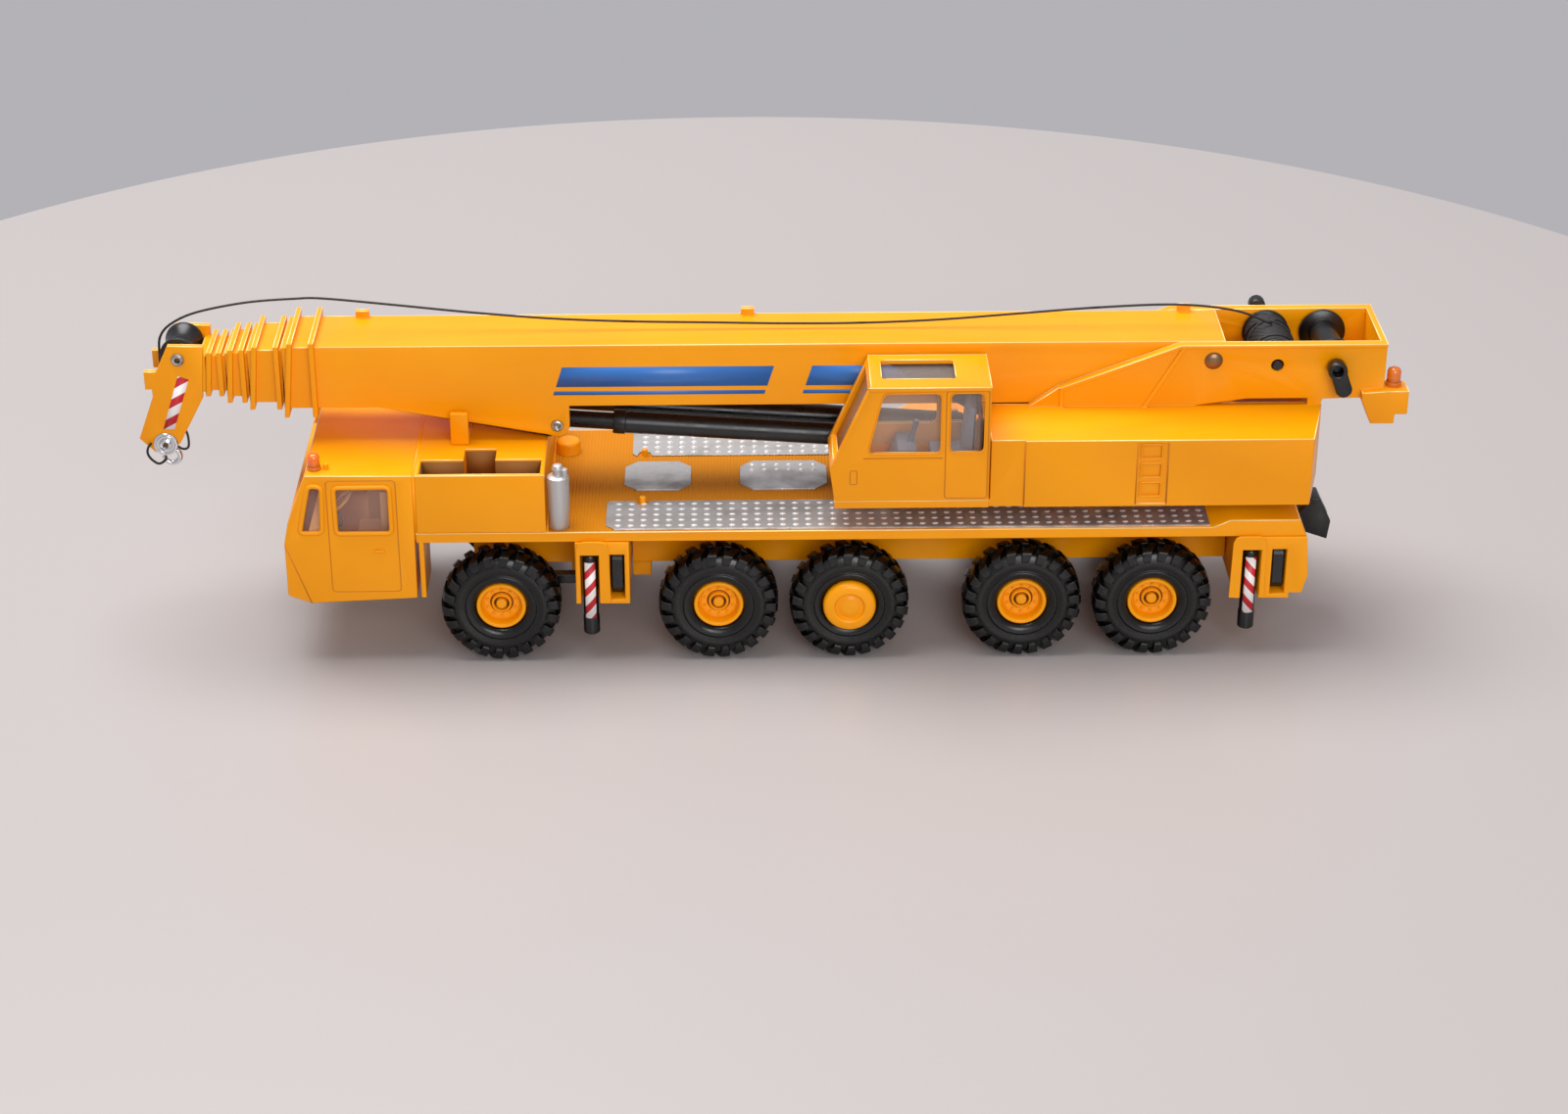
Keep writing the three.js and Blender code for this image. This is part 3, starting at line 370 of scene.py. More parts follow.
SHADOW = material("enamel_in_a_joint", "#c27606", Roughness=0.6)[0]
# Pale enamel for the castings' top edges: a painted highlight.
EDGE = material("painted_highlight_on_edges", "#ffdb92", Roughness=0.25, Coat_Weight=0.4)[0]
# A darker enamel for the deck's ribbed sheet: painted shade, for the boom's shadow on the deck.
DECK_SHADE_ENAMEL = material(
    "darker_enamel_painting_shade", "#c07704", Roughness=0.6, Specular_IOR_Level=0.15
)[0]
# Dark brown laid in grooves and hollows: painted shade.
RECESS_SHADE = material("painted_shade_in_a_recess", "#5a3d16", Roughness=0.6)[0]
# Dark brown for the inside of the tool box's trays: painted shade.
TRAY_SHADE = material("painted_shade_inside_a_box", "#7f4d08", Roughness=0.75)[0]
THREAD = waxed_thread()
FILM_UP = warning_film("red_and_white_vinyl_rising", 1.15, 4.6)
FILM_DOWN = warning_film("red_and_white_vinyl_falling", -1.15, 4.6)
FILM_HEAD = warning_film("red_and_white_vinyl_on_the_head", 0.55, 4.4)
BLUE = material("screen_printed_blue", "#2f69b0", Roughness=0.36)[0]
print("made", THREAD.name, FILM_UP.name, FILM_DOWN.name, BLUE.name)

# %% [markdown]
# ## Mesh helpers
# Three ways of making a body cover almost everything: turn a profile, push an outline, or
# sweep a round section along a path. Edges are then broken with a small bevel, because real
# castings and mouldings have no razor edges and the bevels catch the light.

# %% Bodies from points
def mesh_object(name, points, faces):
    data = bpy.data.meshes.new(name)
    data.from_pydata([tuple(p) for p in points], [], faces)
    data.update()
    made = bpy.data.objects.new(name, data)
    scene.collection.objects.link(made)
    return made


def close_up(made):
    """Weld the seam and turn every face outwards."""
    work = bmesh.new()
    work.from_mesh(made.data)
    bmesh.ops.remove_doubles(work, verts=work.verts, dist=0.002 * MM)
    bmesh.ops.recalc_face_normals(work, faces=work.faces)
    work.to_mesh(made.data)
    work.free()
    return made


def soften(made, bevel_mm, segments=2, limit=32):
    """Break the edges with a bevel and shade the faces flat between them."""
    for face in made.data.polygons:
        face.use_smooth = True
    if bevel_mm:
        edge = made.modifiers.new("broken_edges", "BEVEL")
        edge.width = bevel_mm * MM
        edge.segments = segments
        edge.limit_method = "ANGLE"
        edge.angle_limit = math.radians(limit)
        edge.use_clamp_overlap = False
        edge.harden_normals = True
    return made


def dress(made, surface, body, bevel_mm=0.0, stands_for=(), segments=2):
    """Give a piece its finish, its broken edges and its CAD body, and hide the CAD solids it
    stands for.
    """
    made.data.materials.append(surface)
    soften(made, bevel_mm, segments)
    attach(made, body)
    if stands_for:
        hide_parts(*stands_for)
    return made


def turned(name, profile, centre, along=(0, 1, 0), steps=48):
    """Turn a profile of (radius, height) in mm about a line through centre."""
    spin = Vector((0, 0, 1)).rotation_difference(Vector(along)).to_matrix()
    points = []
    for k in range(steps):
        angle = 2 * math.pi * k / steps
        for radius, height in profile:
            local = Vector((radius * math.cos(angle), radius * math.sin(angle), height)) * MM
            points.append(Vector(centre) + spin @ local)
    size = len(profile)
    faces = []
    for k in range(steps):
        here, there = k * size, (k + 1) % steps * size
        for i in range(size - 1):
            faces.append((here + i, there + i, there + i + 1, here + i + 1))
    return close_up(mesh_object(name, points, faces))


def pushed(name, outline, axis, low, high):
    """Push an outline of points in metres along one axis from low to high."""
    order = {"x": (1, 2), "y": (0, 2), "z": (0, 1)}[axis]
    points = []
    for level in (low, high):
        for u, v in outline:
            point = [level, level, level]
            point[order[0]], point[order[1]] = u, v
            points.append(point)
    size = len(outline)
    faces = [tuple(range(size)), tuple(range(size, 2 * size))]
    for i in range(size):
        j = (i + 1) % size
        faces.append((i, j, j + size, i + size))
    return close_up(mesh_object(name, points, faces))


def slab(name, low, high):
    """A rectangular block between two corners."""
    outline = [(low[0], low[1]), (high[0], low[1]), (high[0], high[1]), (low[0], high[1])]
    return pushed(name, outline, "z", low[2], high[2])


def swept(name, path, radius, sides=10, closed=False):
    """A round tube of one radius in metres along a path of points."""
    path = [Vector(p) for p in path]
    count = len(path)
    points, faces = [], []
    side = None
    for i, point in enumerate(path):
        after = path[(i + 1) % count] if closed or i + 1 < count else point
        before = path[i - 1] if closed or i > 0 else point
        way = (after - before).normalized()
        if side is None:
            side = way.orthogonal().normalized()
        side = (side - way * side.dot(way)).normalized()
        other = way.cross(side)
        for k in range(sides):
            angle = 2 * math.pi * k / sides
            points.append(point + (side * math.cos(angle) + other * math.sin(angle)) * radius)
    rings = count if closed else count - 1
    for i in range(rings):
        here, there = i * sides, (i + 1) % count * sides
        for k in range(sides):
            n = (k + 1) % sides
            faces.append((here + k, here + n, there + n, there + k))
    if not closed:
        faces.append(tuple(range(sides)))
        faces.append(tuple(range((count - 1) * sides, count * sides)))
    return close_up(mesh_object(name, points, faces))


def united(name, parts):
    """Join several loose pieces into one."""
    work = bmesh.new()
    for part in parts:
        work.from_mesh(part.data)
        bpy.data.objects.remove(part)
    data = bpy.data.meshes.new(name)
    work.to_mesh(data)
    work.free()
    made = bpy.data.objects.new(name, data)
    scene.collection.objects.link(made)
    return made


def smooth_path(points, steps=8):
    """A Catmull-Rom curve through the points."""
    points = [Vector(p) for p in points]
    padded = [2 * points[0] - points[1], *points, 2 * points[-1] - points[-2]]
    path = []
    for a, b, c, d in zip(padded, padded[1:], padded[2:], padded[3:]):
        for k in range(steps):
            t = k / steps
            path.append(
                0.5 * (2 * b + (c - a) * t + (2 * a - 5 * b + 4 * c - d) * t * t
                       + (3 * b - a - 3 * c + d) * t ** 3)
            )
    return [*path, points[-1]]


print("mesh helpers ready")

# %% [markdown]
# ## Skins of CAD solids
# A casting whose shape is already right in the frame is copied. The copy's flat faces are
# merged from triangles into whole polygons, so that the bevel runs cleanly round them.

# %% Copy a casting
BODY_OF = {
    node: body
    for body, nodes in frame["record"]["behaviour"]["bodies"].items()
    for node in nodes
}


def casting(node, surface, bevel_mm=0.25, segments=2):
    """A bevelled skin over one CAD solid."""
    work = bmesh.new()
    work.from_mesh(frame["nodes"][node].data)
    bmesh.ops.remove_doubles(work, verts=work.verts, dist=0.01 * MM)
    bmesh.ops.dissolve_limit(
        work, angle_limit=math.radians(0.8), verts=work.verts, edges=work.edges
    )
    data = bpy.data.meshes.new(f"{node}_skin")
    work.to_mesh(data)
    work.free()
    made = bpy.data.objects.new(f"{node}_skin", data)
    scene.collection.objects.link(made)
    return dress(made, surface, BODY_OF[node], bevel_mm, [node], segments)


EDGE_RADIUS = 0.13
EDGE_SINK = 0.1  # how far the bright line's centre lies below both faces
EDGE_SHORTEST = 2.0


def painted_highlight_edges(node, crosswise=True):
    """Thin pale lines where a top face of a casting meets a side: a painted highlight."""
    work = bmesh.new()
    work.from_mesh(bpy.data.objects[f"{node}_skin"].data)
    lines = []
    for edge in work.edges:
        if len(edge.link_faces) != 2 or not edge.is_convex:
            continue
        run = edge.verts[1].co - edge.verts[0].co
        if run.length < EDGE_SHORTEST * MM:
            continue
        if not crosswise and abs(run.y) > 0.7 * run.length:
            continue
        low, high = sorted((face.normal.z for face in edge.link_faces))
        if high < 0.8 or abs(low) > 0.5:
            continue
        sink = (edge.link_faces[0].normal + edge.link_faces[1].normal) * EDGE_SINK * MM
        ends = [vert.co - sink for vert in edge.verts]
        lines.append(swept(f"{node}_edge", ends, EDGE_RADIUS * MM, 6))
    work.free()
    made = united(f"{node}_bright_edges", lines)
    return dress(made, EDGE, BODY_OF[node])


# %% [markdown]
# ## Hoist rope
# One thread runs from the first winch over the boom and the head sheave, and down to the
# hook. It is made in four lengths that meet end to end.

# %% Lay the rope
ROPE = 0.6  # thread diameter
HAIR = 1e-6  # metres
rope_route = [
    (118.6, 39.9), (109.4, 43.5), (95.4, 45.1), (76.8, 44.5), (58.2, 43.1), (39.6, 41.7),
    (21, 41), (2.4, 41), (-16.2, 41.4), (-34.8, 41.8), (-53.3, 42.7), (-71.8, 44.4),
    (-90.2, 46.5), (-106.2, 48.2), (-113.1, 48.2), (-124.7, 47.3), (-136.4, 44.9),
    (-142.6, 42), (-145.4, 38.8), (-146, 34.6), (-145.9, 28), (-145.6, 21), (-145.3, 16.6),
]
rope_path = smooth_path([on_deck(x, 0, z) for x, z in rope_route], 6)


def path_length(path):
    return sum((b - a).length for a, b in zip(path, path[1:]))


def rope_length(name, start_x, end_x):
    """One length of thread between two places along the boom."""
    part = [p for p in rope_path if p.x <= start_x * MM + HAIR]
    if end_x is not None:
        part = [p for p in part if p.x >= end_x * MM - HAIR]
    made = swept(name, part, ROPE / 2 * MM, 8)
    made.data.materials.append(THREAD)
    soften(made, 0)
    return made, part


rope_cuts = [118.6, 76.8, 21, -34.8, None]
blend_ends = [(116, 95.4), (74, 24), (18, -32), (-38, -88)]
rope_total = 0
for n in range(4):
    made, part = rope_length(f"hoist_rope_{n + 1}", rope_cuts[n], rope_cuts[n + 1])
    start, end = (on_deck(x, 0, 0) for x in blend_ends[n])
    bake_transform(made)
    rope_total += path_length(part)
    if n == 0:
        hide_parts("hoist_rope")
print("rope length", round(rope_total / MM, 1), "mm")

# %% [markdown]
# ## Tyres
# Big lugged tyres, moulded in one piece. Each lug is a thick slanted bar that starts near the
# tread's middle, wraps the shoulder and fades on the sidewall, with the two rows staggered.
# The carcass is a turned body with stepped rings. One mesh serves all ten tyres.

# %% Tyre
TYRE_LUGS = 22
TYRE_TURN = 0.37  # radians from one axle to the next, so that no two lug rings agree
TYRE_PROFILE = [
    (6.05, -2.6), (6.5, -3.3), (7.2, -3.8), (8.2, -3.9), (8.45, -3.7), (8.6, -3.5), (9.0, -3.6),
    (9.9, -3.9), (10.7, -3.85), (11.4, -3.5), (12.4, -3.3), (12.9, -2.8), (13.0, -1.5),
    (13.0, 1.5), (12.9, 2.8), (12.4, 3.3), (11.4, 3.5), (10.7, 3.85), (9.9, 3.9), (9.0, 3.6),
    (8.6, 3.5), (8.45, 3.7), (8.2, 3.9), (7.2, 3.8), (6.5, 3.3), (6.05, 2.6), (6.05, -2.6),
]
# Each station across a lug: slant in degrees, half its width in degrees, outer radius and
# height, inner radius and height.
LUG_STATIONS = [
    (0.0, 3.6, 14.3, 0.1, 12.7, 0.1),
    (2.8, 4.0, 14.3, 1.5, 12.7, 1.5),
    (6.2, 4.6, 14.2, 2.9, 12.7, 2.9),
    (7.8, 5.0, 13.7, 3.9, 12.3, 3.1),
    (8.6, 4.9, 12.6, 4.25, 12.2, 3.3),
    (9.0, 4.3, 11.3, 4.2, 11.4, 3.4),
    (9.0, 3.9, 10.9, 3.8, 11.0, 3.4),
]


def tyre_lugs():
    points, faces = [], []
    for side in (-1, 1):
        for k in range(TYRE_LUGS):
            base = 360 * (k + 0.25 * (side + 1)) / TYRE_LUGS
            first = len(points)
            for slant, half, r_out, y_out, r_in, y_in in LUG_STATIONS:
                corners = (
                    (-1, r_in, y_in), (-1, r_out, y_out), (1, r_out, y_out), (1, r_in, y_in),
                )
                for way, radius, height in corners:
                    angle = math.radians(base + slant + way * half)
                    points.append(
                        mm(radius * math.cos(angle), side * height, radius * math.sin(angle))
                    )
            last = len(LUG_STATIONS) - 1
            for i in range(last):
                a = first + 4 * i
                for j in range(4):
                    n = (j + 1) % 4
                    faces.append((a + j, a + n, a + 4 + n, a + 4 + j))
            faces.append(tuple(first + j for j in range(4)))
            faces.append(tuple(first + 4 * last + j for j in range(4)))
    return close_up(mesh_object("lugs", points, faces))


tyre_body = united("tyre", [turned("carcass", TYRE_PROFILE, (0, 0, 0), steps=88), tyre_lugs()])
tyre_mesh = tyre_body.data
tyre_mesh.materials.append(TYRE)
bpy.data.objects.remove(tyre_body)


def place_tyre(number, side):
    made = bpy.data.objects.new(f"tyre_{number}_{side}_lugged", tyre_mesh)
    scene.collection.objects.link(made)
    node = f"tyre_{number}_{side}"
    flip = math.pi if SIDES[side] > 0 else 0
    made.matrix_world = (
        Matrix.Translation(middle_of(node))
        @ Matrix.Rotation(flip, 4, "Z")
        @ Matrix.Rotation(TYRE_TURN * number, 4, "Y")
    )
    soften(made, 0.16, 2, 35)
    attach(made, f"wheelset_{number}")
    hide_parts(node)


for number in range(1, 6):
    for side in SIDES:
        place_tyre(number, side)
print("tyre mesh", len(tyre_mesh.polygons), "faces")

# %% [markdown]
# ## Rims
# Four axles carry deep dished rims: a lip, a step, a ring of ten bolt heads and a raised cap
# between two grooves, each darkened by a thin dark ring of painted shade. The third axle's
# hubs are smooth domes with one ring. Both rims and their axle are one turned body, with the
# bolt heads set on it.

# %% Rims and axles
WHEEL_PLANE = 24.5  # the middle of a tyre, from the centre line
DISHED = [
    (0, 1.75), (1.0, 1.75), (1.25, 1.55), (1.3, 0.3), (1.8, 0.3), (1.85, 1.35), (2.0, 1.5),
    (2.25, 1.45), (2.4, 1.2), (2.45, 0.3), (2.75, 0.3), (2.8, 0.7), (4.2, 0.8), (4.3, 0.5),
    (4.55, 0.5), (4.65, 0.9), (4.85, 2.5), (5.05, 2.85), (5.4, 3.0), (5.75, 2.95), (5.95, 2.6),
    (6.0, -3.3), (1.5, -3.3),
]
DOMED = [
    (0, 4.95), (1.4, 4.9), (2.4, 4.7), (2.75, 4.45), (3.2, 4.4), (3.4, 4.6), (3.6, 5.15),
    (3.9, 5.35), (5.2, 5.25), (5.8, 5.0), (6.15, 4.6), (6.3, 4.0), (6.3, -3.3), (1.5, -3.3),
]
BOLTS = 10
BOLT_CIRCLE = 3.5
BOLT_HEAD = [(0, 0.5), (0.2, 0.45), (0.36, 0.25), (0.4, 0)]
BOLT_SEAT = WHEEL_PLANE + 0.75
RIM_GROOVES = [(1.28, 1.83), (2.43, 2.78)]  # inner and outer radius of the painted shade in each
SHADE_RING_LEVELS = (0.26, 0.36)


def wheel_profile(half):
    outer = [(r, WHEEL_PLANE + y) for r, y in half]
    return [*outer, *((r, -y) for r, y in reversed(outer))]


def bolt_heads(x):
    heads = []
    for sign in SIDES.values():
        for k in range(BOLTS):
            angle = 2 * math.pi * (k + 0.5) / BOLTS
            centre = Vector((x, sign * BOLT_SEAT * MM, AXLE_Z)) + mm(
                BOLT_CIRCLE * math.cos(angle), 0, BOLT_CIRCLE * math.sin(angle)
            )
            heads.append(turned("bolt", BOLT_HEAD, centre, (0, sign, 0), 10))
    return heads


# Thin dark rings laid in the rims' grooves: painted shade.
def painted_shade_rings(x):
    rings = []
    low, high = SHADE_RING_LEVELS
    for sign in SIDES.values():
        base = Vector((x, sign * WHEEL_PLANE * MM, AXLE_Z))
        for near, far in RIM_GROOVES:
            section = [(near, low), (far, low), (far, high), (near, high), (near, low)]
            rings.append(turned("ring", section, base, (0, sign, 0), 48))
    return rings


for number, x in enumerate(AXLE_X, 1):
    plain = number == 3
    outline = wheel_profile(DOMED if plain else DISHED)
    parts = [turned("wheels", outline, (x, 0, AXLE_Z), steps=64)]
    if not plain:
        parts += bolt_heads(x)
        painted_shade_ring = united(f"rim_painted_shade_{number}", painted_shade_rings(x))
        dress(painted_shade_ring, RECESS_SHADE, f"wheelset_{number}")
    rims = united(f"rims_{number}", parts)
    dress(rims, RIM, f"wheelset_{number}", 0.08, [f"axle_{number}"])
print("rims on", len(AXLE_X), "axles")

# %% [markdown]
# ## Chassis, deck and walkways
# The chassis channel and the deck are castings. Between the walkways the deck carries fine
# transverse ribs, real ones in the tool, so they are a thin corrugated sheet laid on it. They
# are drawn 0.8 mm apart, a little coarser than real, so that they still show. The sheet's
# darker enamel is painted shade, for the boom's shadow on the deck.

# %% Chassis and deck
for node in ("chassis_frame", "outrigger_housing_front", "outrigger_housing_rear"):
    casting(node, ENAMEL, 0.2)
casting("carrier_deck", ENAMEL, 0.22)
casting("slew_kingpin", RIVET, 0.15)

RIB_PITCH = 0.8
RIB_FOOT, RIB_TOP = 0.01, 0.11
RIB_PROFILE = [(0, RIB_FOOT), (0.3, RIB_TOP), (0.6, RIB_TOP), (0.9, RIB_FOOT)]


def ribbed_sheet(name, low_x, high_x, half_y):
    points = []
    for k in range(int((high_x - low_x) / RIB_PITCH)):
        for share, z in RIB_PROFILE:
            x = low_x + (k + share) * RIB_PITCH
            points += [on_deck(x, -half_y, z), on_deck(x, half_y, z)]
    faces = [(a, a + 1, a + 3, a + 2) for a in range(0, len(points) - 2, 2)]
    made = mesh_object(name, points, faces)
    made.data.materials.append(DECK_SHADE_ENAMEL)
    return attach(made, "carrier")


ribbed_sheet("deck_ribs", -53.6, 49, 27.6)
print("deck dressed")

# %% [markdown]
# Chequer foil covers the two walkways and two small octagonal plates between them. The
# lozenge studs stand in rows 2.8 mm apart with a pitch of 3 mm along the truck, pressed up
# from below, in brighter metal: partly rubbed bright on their crests, partly a painted glint.
# Each plate is one mesh: the sheet, with its outer edge turned down on the walkways, and its
# studs.

# %% Foil plates
STUD_PITCH = (3.0, 2.8)
STUD = (0.85, 0.55, 0.24)  # half length, half width, height


def studs(rows, columns, level):
    points, faces = [], []
    length, width, height = STUD
    for x in columns:
        for y in rows:
            first = len(points)
            for shrink, rise in ((1, 0), (0.55, height)):
                points += [
                    on_deck(x - length * shrink, y, level + rise),
                    on_deck(x, y - width * shrink, level + rise),
                    on_deck(x + length * shrink, y, level + rise),
                    on_deck(x, y + width * shrink, level + rise),
                ]
            for i in range(4):
                j = (i + 1) % 4
                faces.append((first + i, first + j, first + 4 + j, first + 4 + i))
            faces.append(tuple(first + 4 + i for i in range(4)))
    made = mesh_object("studs", points, faces)
    for face in made.data.polygons:
        face.material_index = 1
    return made


def steps_between(low, high, pitch):
    count = int((high - low) / pitch)
    spare = (high - low - count * pitch) / 2
    return [low + spare + k * pitch for k in range(count + 1)]


def foil_plate(name, outline, rows, columns, level, thickness):
    metres = [on_deck(x, y, 0).xy for x, y in outline]
    low = DECK + level * MM
    sheet = pushed("sheet", metres, "z", low, low + thickness * MM)
    parts = [sheet]
    if rows:
        parts.append(studs(rows, columns, level + thickness))
    return united(name, parts)


for side, sign in SIDES.items():
    low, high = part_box(f"tread_strip_{side}")
    front, rear = low.x / MM, high.x / MM
    near, far = 12.4, 27.0
    notch, notch_depth = -31.7, 2.0  # room for the peg on the deck
    outline = [
        (front, near + 1.2), (front + 0.8, near), (notch - 1.8, near),
        (notch - 1.2, near + notch_depth), (notch + 1.2, near + notch_depth),
        (notch + 1.8, near), (rear, near), (rear, far),
        (front + 2, far), (front, far - 2),
    ]
    outline = [(x, sign * y) for x, y in outline]
    rows = [sign * y for y in steps_between(near + 1.4, far - 1.2, STUD_PITCH[1])]
    columns = steps_between(front + 2.4, rear - 1.4, STUD_PITCH[0])
    strip = foil_plate(f"walkway_{side}", outline, rows, columns, level=0.18, thickness=0.2)
    low_y, high_y = across(sign, far - 0.05, far + 0.35)
    hem = slab("hem", on_deck(front + 2, low_y, -0.1), on_deck(rear, high_y, 0.34))
    strip = united(f"walkway_{side}_foil", [strip, hem])
    dress(strip, FOIL, "carrier", 0.05, [f"tread_strip_{side}"], 1)
    strip.data.materials.append(STUD_RUB_AND_GLINT)

for name, low_x, high_x, rows in (("fore", -36.3, -20.2, []), ("aft", -8.3, 12.8, [3.6, 6.4])):
    near, far, corner = -6.8, 8.7, 3.0
    outline = [
        (low_x, near + corner), (low_x + corner, near), (high_x - corner, near),
        (high_x, near + corner), (high_x, far - corner), (high_x - corner, far),
        (low_x + corner, far), (low_x, far - corner),
    ]
    columns = steps_between(low_x + 3, high_x - 3, STUD_PITCH[0])
    plate = foil_plate(
        f"deck_plate_{name}", outline, rows, columns, level=0.05, thickness=0.5
    )
    dress(plate, FOIL, "carrier", 0.1, (), 2)
    plate.data.materials.append(STUD_RUB_AND_GLINT)
print("foil plates laid")

# %% [markdown]
# ## Outriggers
# Each jack is a round leg with a wider foot, wrapped on its outer face with warning film. Its
# beam slides in a square channel, and the neighbouring beam's rounded tail shows beside it.
# Round each jack, a tapered bracket stands proud of the housing.

# %% Jacks and beams
FILM_ARC = 42  # degrees of the leg covered on each side of its outermost line
FILM_RADII = (1.86, 1.94)
FILM_LEVELS = (11.2, 26.2)


def jack_film(name, centre, sign):
    """A curved strip of film round the outer face of a jack's leg."""
    points, faces = [], []
    arc = [math.radians(a) for a in range(-FILM_ARC, FILM_ARC + 1, 7)]
    for radius in FILM_RADII:
        for z in FILM_LEVELS:
            points += [
                centre + mm(radius * math.sin(a), sign * radius * math.cos(a), z) for a in arc
            ]
    n = len(arc)
    for i in range(n - 1):
        for a, b in ((0, n), (2 * n, 3 * n), (0, 2 * n), (n, 3 * n)):
            faces.append((a + i, a + i + 1, b + i + 1, b + i))
    faces += [(0, n, 3 * n, 2 * n), (n - 1, 2 * n - 1, 4 * n - 1, 3 * n - 1)]
    return close_up(mesh_object(name, points, faces))


for set_name, film in (("front", FILM_UP), ("rear", FILM_DOWN)):
    for side, sign in SIDES.items():
        beam, jack = f"outrigger_beam_{set_name}_{side}", f"outrigger_jack_{set_name}_{side}"
        casting(beam, BLACK, 0.3)
        low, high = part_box(jack)
        centre = Vector((*middle_of(jack).xy, 0))
        foot, top = low.z / MM, high.z / MM
        profile = [
            (0, foot + 0.2), (1.2, foot), (1.75, foot), (1.95, foot + 0.25), (1.95, foot + 4.5),
            (1.8, foot + 4.8), (1.8, top - 1.0), (1.5, top - 0.4), (0.9, top), (0, top),
        ]
        leg = turned(f"{jack}_leg", profile, centre, UP, 32)
        dress(leg, BLACK, f"jack_{set_name}_{side}", 0.08, [jack])
        label = jack_film(f"warning_film_{set_name}_{side}", centre, sign)
        dress(label, film, f"jack_{set_name}_{side}")

# How far each bracket reaches ahead of its jack and behind it.
BRACKET = {
    ("front", "left"): (3.4, 4.9),
    ("rear", "left"): (4.9, 3.6),
    ("front", "right"): (4.9, 3.4),
    ("rear", "right"): (3.6, 4.9),
}
BRACKET_FACES = (28.4, 29.05)  # from the centre line
LEG_ROOM = 2.25
TAIL_HALF = 1.42
for (set_name, side), (ahead, behind) in BRACKET.items():
    sign = SIDES[side]
    x = middle_of(f"outrigger_jack_{set_name}_{side}").x / MM
    start, end = x - ahead, x + behind
    outline = [
        (start, -18.5), (start + 0.3, -3.8), (start + 0.9, -2.6), (start + 1.9, -2.1),
        (end - 1.9, -2.1), (end - 0.9, -2.6), (end - 0.3, -3.8), (end, -18.5),
        (x + LEG_ROOM, -18.5), (x + LEG_ROOM, -5.7),
        (x - LEG_ROOM, -5.7), (x - LEG_ROOM, -18.5),
    ]
    levels = across(sign, *(y * MM for y in BRACKET_FACES))
    plate = pushed(f"jack_bracket_{set_name}_{side}", side_view(outline), "y", *levels)
    dress(plate, ENAMEL, "carrier", 0.2)
    beam_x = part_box(f"outrigger_beam_{set_name}_{side}")[0].x / MM + 1.45
    tail = [
        (21.2, -16.9), (26.4, -16.9), (27.4, -15.4), (27.4, -7.6), (26.4, -6.2), (21.2, -6.2),
    ]
    span = ((beam_x - TAIL_HALF) * MM, (beam_x + TAIL_HALF) * MM)
    tail = side_view((-sign * y, z) for y, z in tail)
    end_cap = pushed(f"beam_tail_{set_name}_{side}", tail, "x", *span)
    dress(end_cap, BLACK, f"beam_{set_name}_{side}", 0.35, (), 3)
print("outriggers dressed")

# %% [markdown]
# ## Carrier cab
# A one-piece casting with a clear moulding inside it. Raised frames run round the side
# windows, a door is outlined by a shallow groove, and a small handle stands on it. The frames
# are swept along each window's rounded outline. A grey steering wheel shows through the glass.

# %% Cab shell and its relief
def rounded(points, radius, steps=4):
    """Round the corners of an outline, in mm."""
    corners = [Vector(p) for p in points]
    path = []
    for i, corner in enumerate(corners):
        before, after = corners[i - 1], corners[(i + 1) % len(corners)]
        start = corner + (before - corner).normalized() * radius
        end = corner + (after - corner).normalized() * radius
        for k in range(steps + 1):
            t = k / steps
            path.append(start * (1 - t) ** 2 + 2 * corner * t * (1 - t) + end * t * t)
    return path


def window_frame(name, outline, radius, face_y, sign, body, thick=0.62):
    """A rounded bead round a window, half sunk in the face at face_y."""
    path = [on_deck(p.x, sign * face_y, p.y) for p in rounded(outline, radius)]
    bead = swept(name, path, thick * MM, 8, closed=True)
    return dress(bead, ENAMEL, body)


def groove(name, outline, face_y, sign, body, radius=1.0, thick=0.12):
    """A thin dark joint line on a flat side."""
    path = [on_deck(p.x, sign * face_y, p.y) for p in rounded(outline, radius)]
    line = swept(name, path, thick * MM, 6, closed=True)
    return dress(line, SHADOW, body)


def joint_line(name, points, face_y, sign, body, thick=0.14):
    """A fine line on a flat side, open at both ends."""
    line = swept(name, [on_deck(x, sign * face_y, z) for x, z in points], thick * MM, 6)
    return dress(line, SHADOW, body)


casting("carrier_cab_shell", ENAMEL, 0.45, 3)
casting("carrier_cab_glazing", CLEAR, 0.1)
casting("carrier_cab_interior", TAN, 0.2)
WHEEL_CENTRE = on_deck(-104.9, -18, 0.4)
WHEEL_RADIUS = 3.3
WHEEL_STEPS = 24
WHEEL_SLOPE = (-0.5, 0.86)
wheel_path = []
for k in range(WHEEL_STEPS):
    angle = math.tau * k / WHEEL_STEPS
    rise = math.sin(angle) * WHEEL_RADIUS
    run = math.cos(angle) * WHEEL_RADIUS
    wheel_path.append(WHEEL_CENTRE + mm(WHEEL_SLOPE[0] * rise, run, WHEEL_SLOPE[1] * rise))
steering_wheel = swept("steering_wheel", wheel_path, 0.32 * MM, 8, closed=True)
dress(steering_wheel, GREY, "carrier")
CAB_SIDE = 28.0
quarter = [(-109.3, 12.8), (-112, 0.4), (-106.6, 0.4), (-106.1, 12.5)]
door_window = [(-103.4, 12.3), (-103.4, 0.2), (-90.3, 0.2), (-90.3, 12.3)]
door_edge = [(-105.1, 14.0), (-105.1, -15.3), (-88.9, -15.3), (-88.9, 14.0)]
crease = [(-115.7, -2.8), (-110.3, -18.2)]
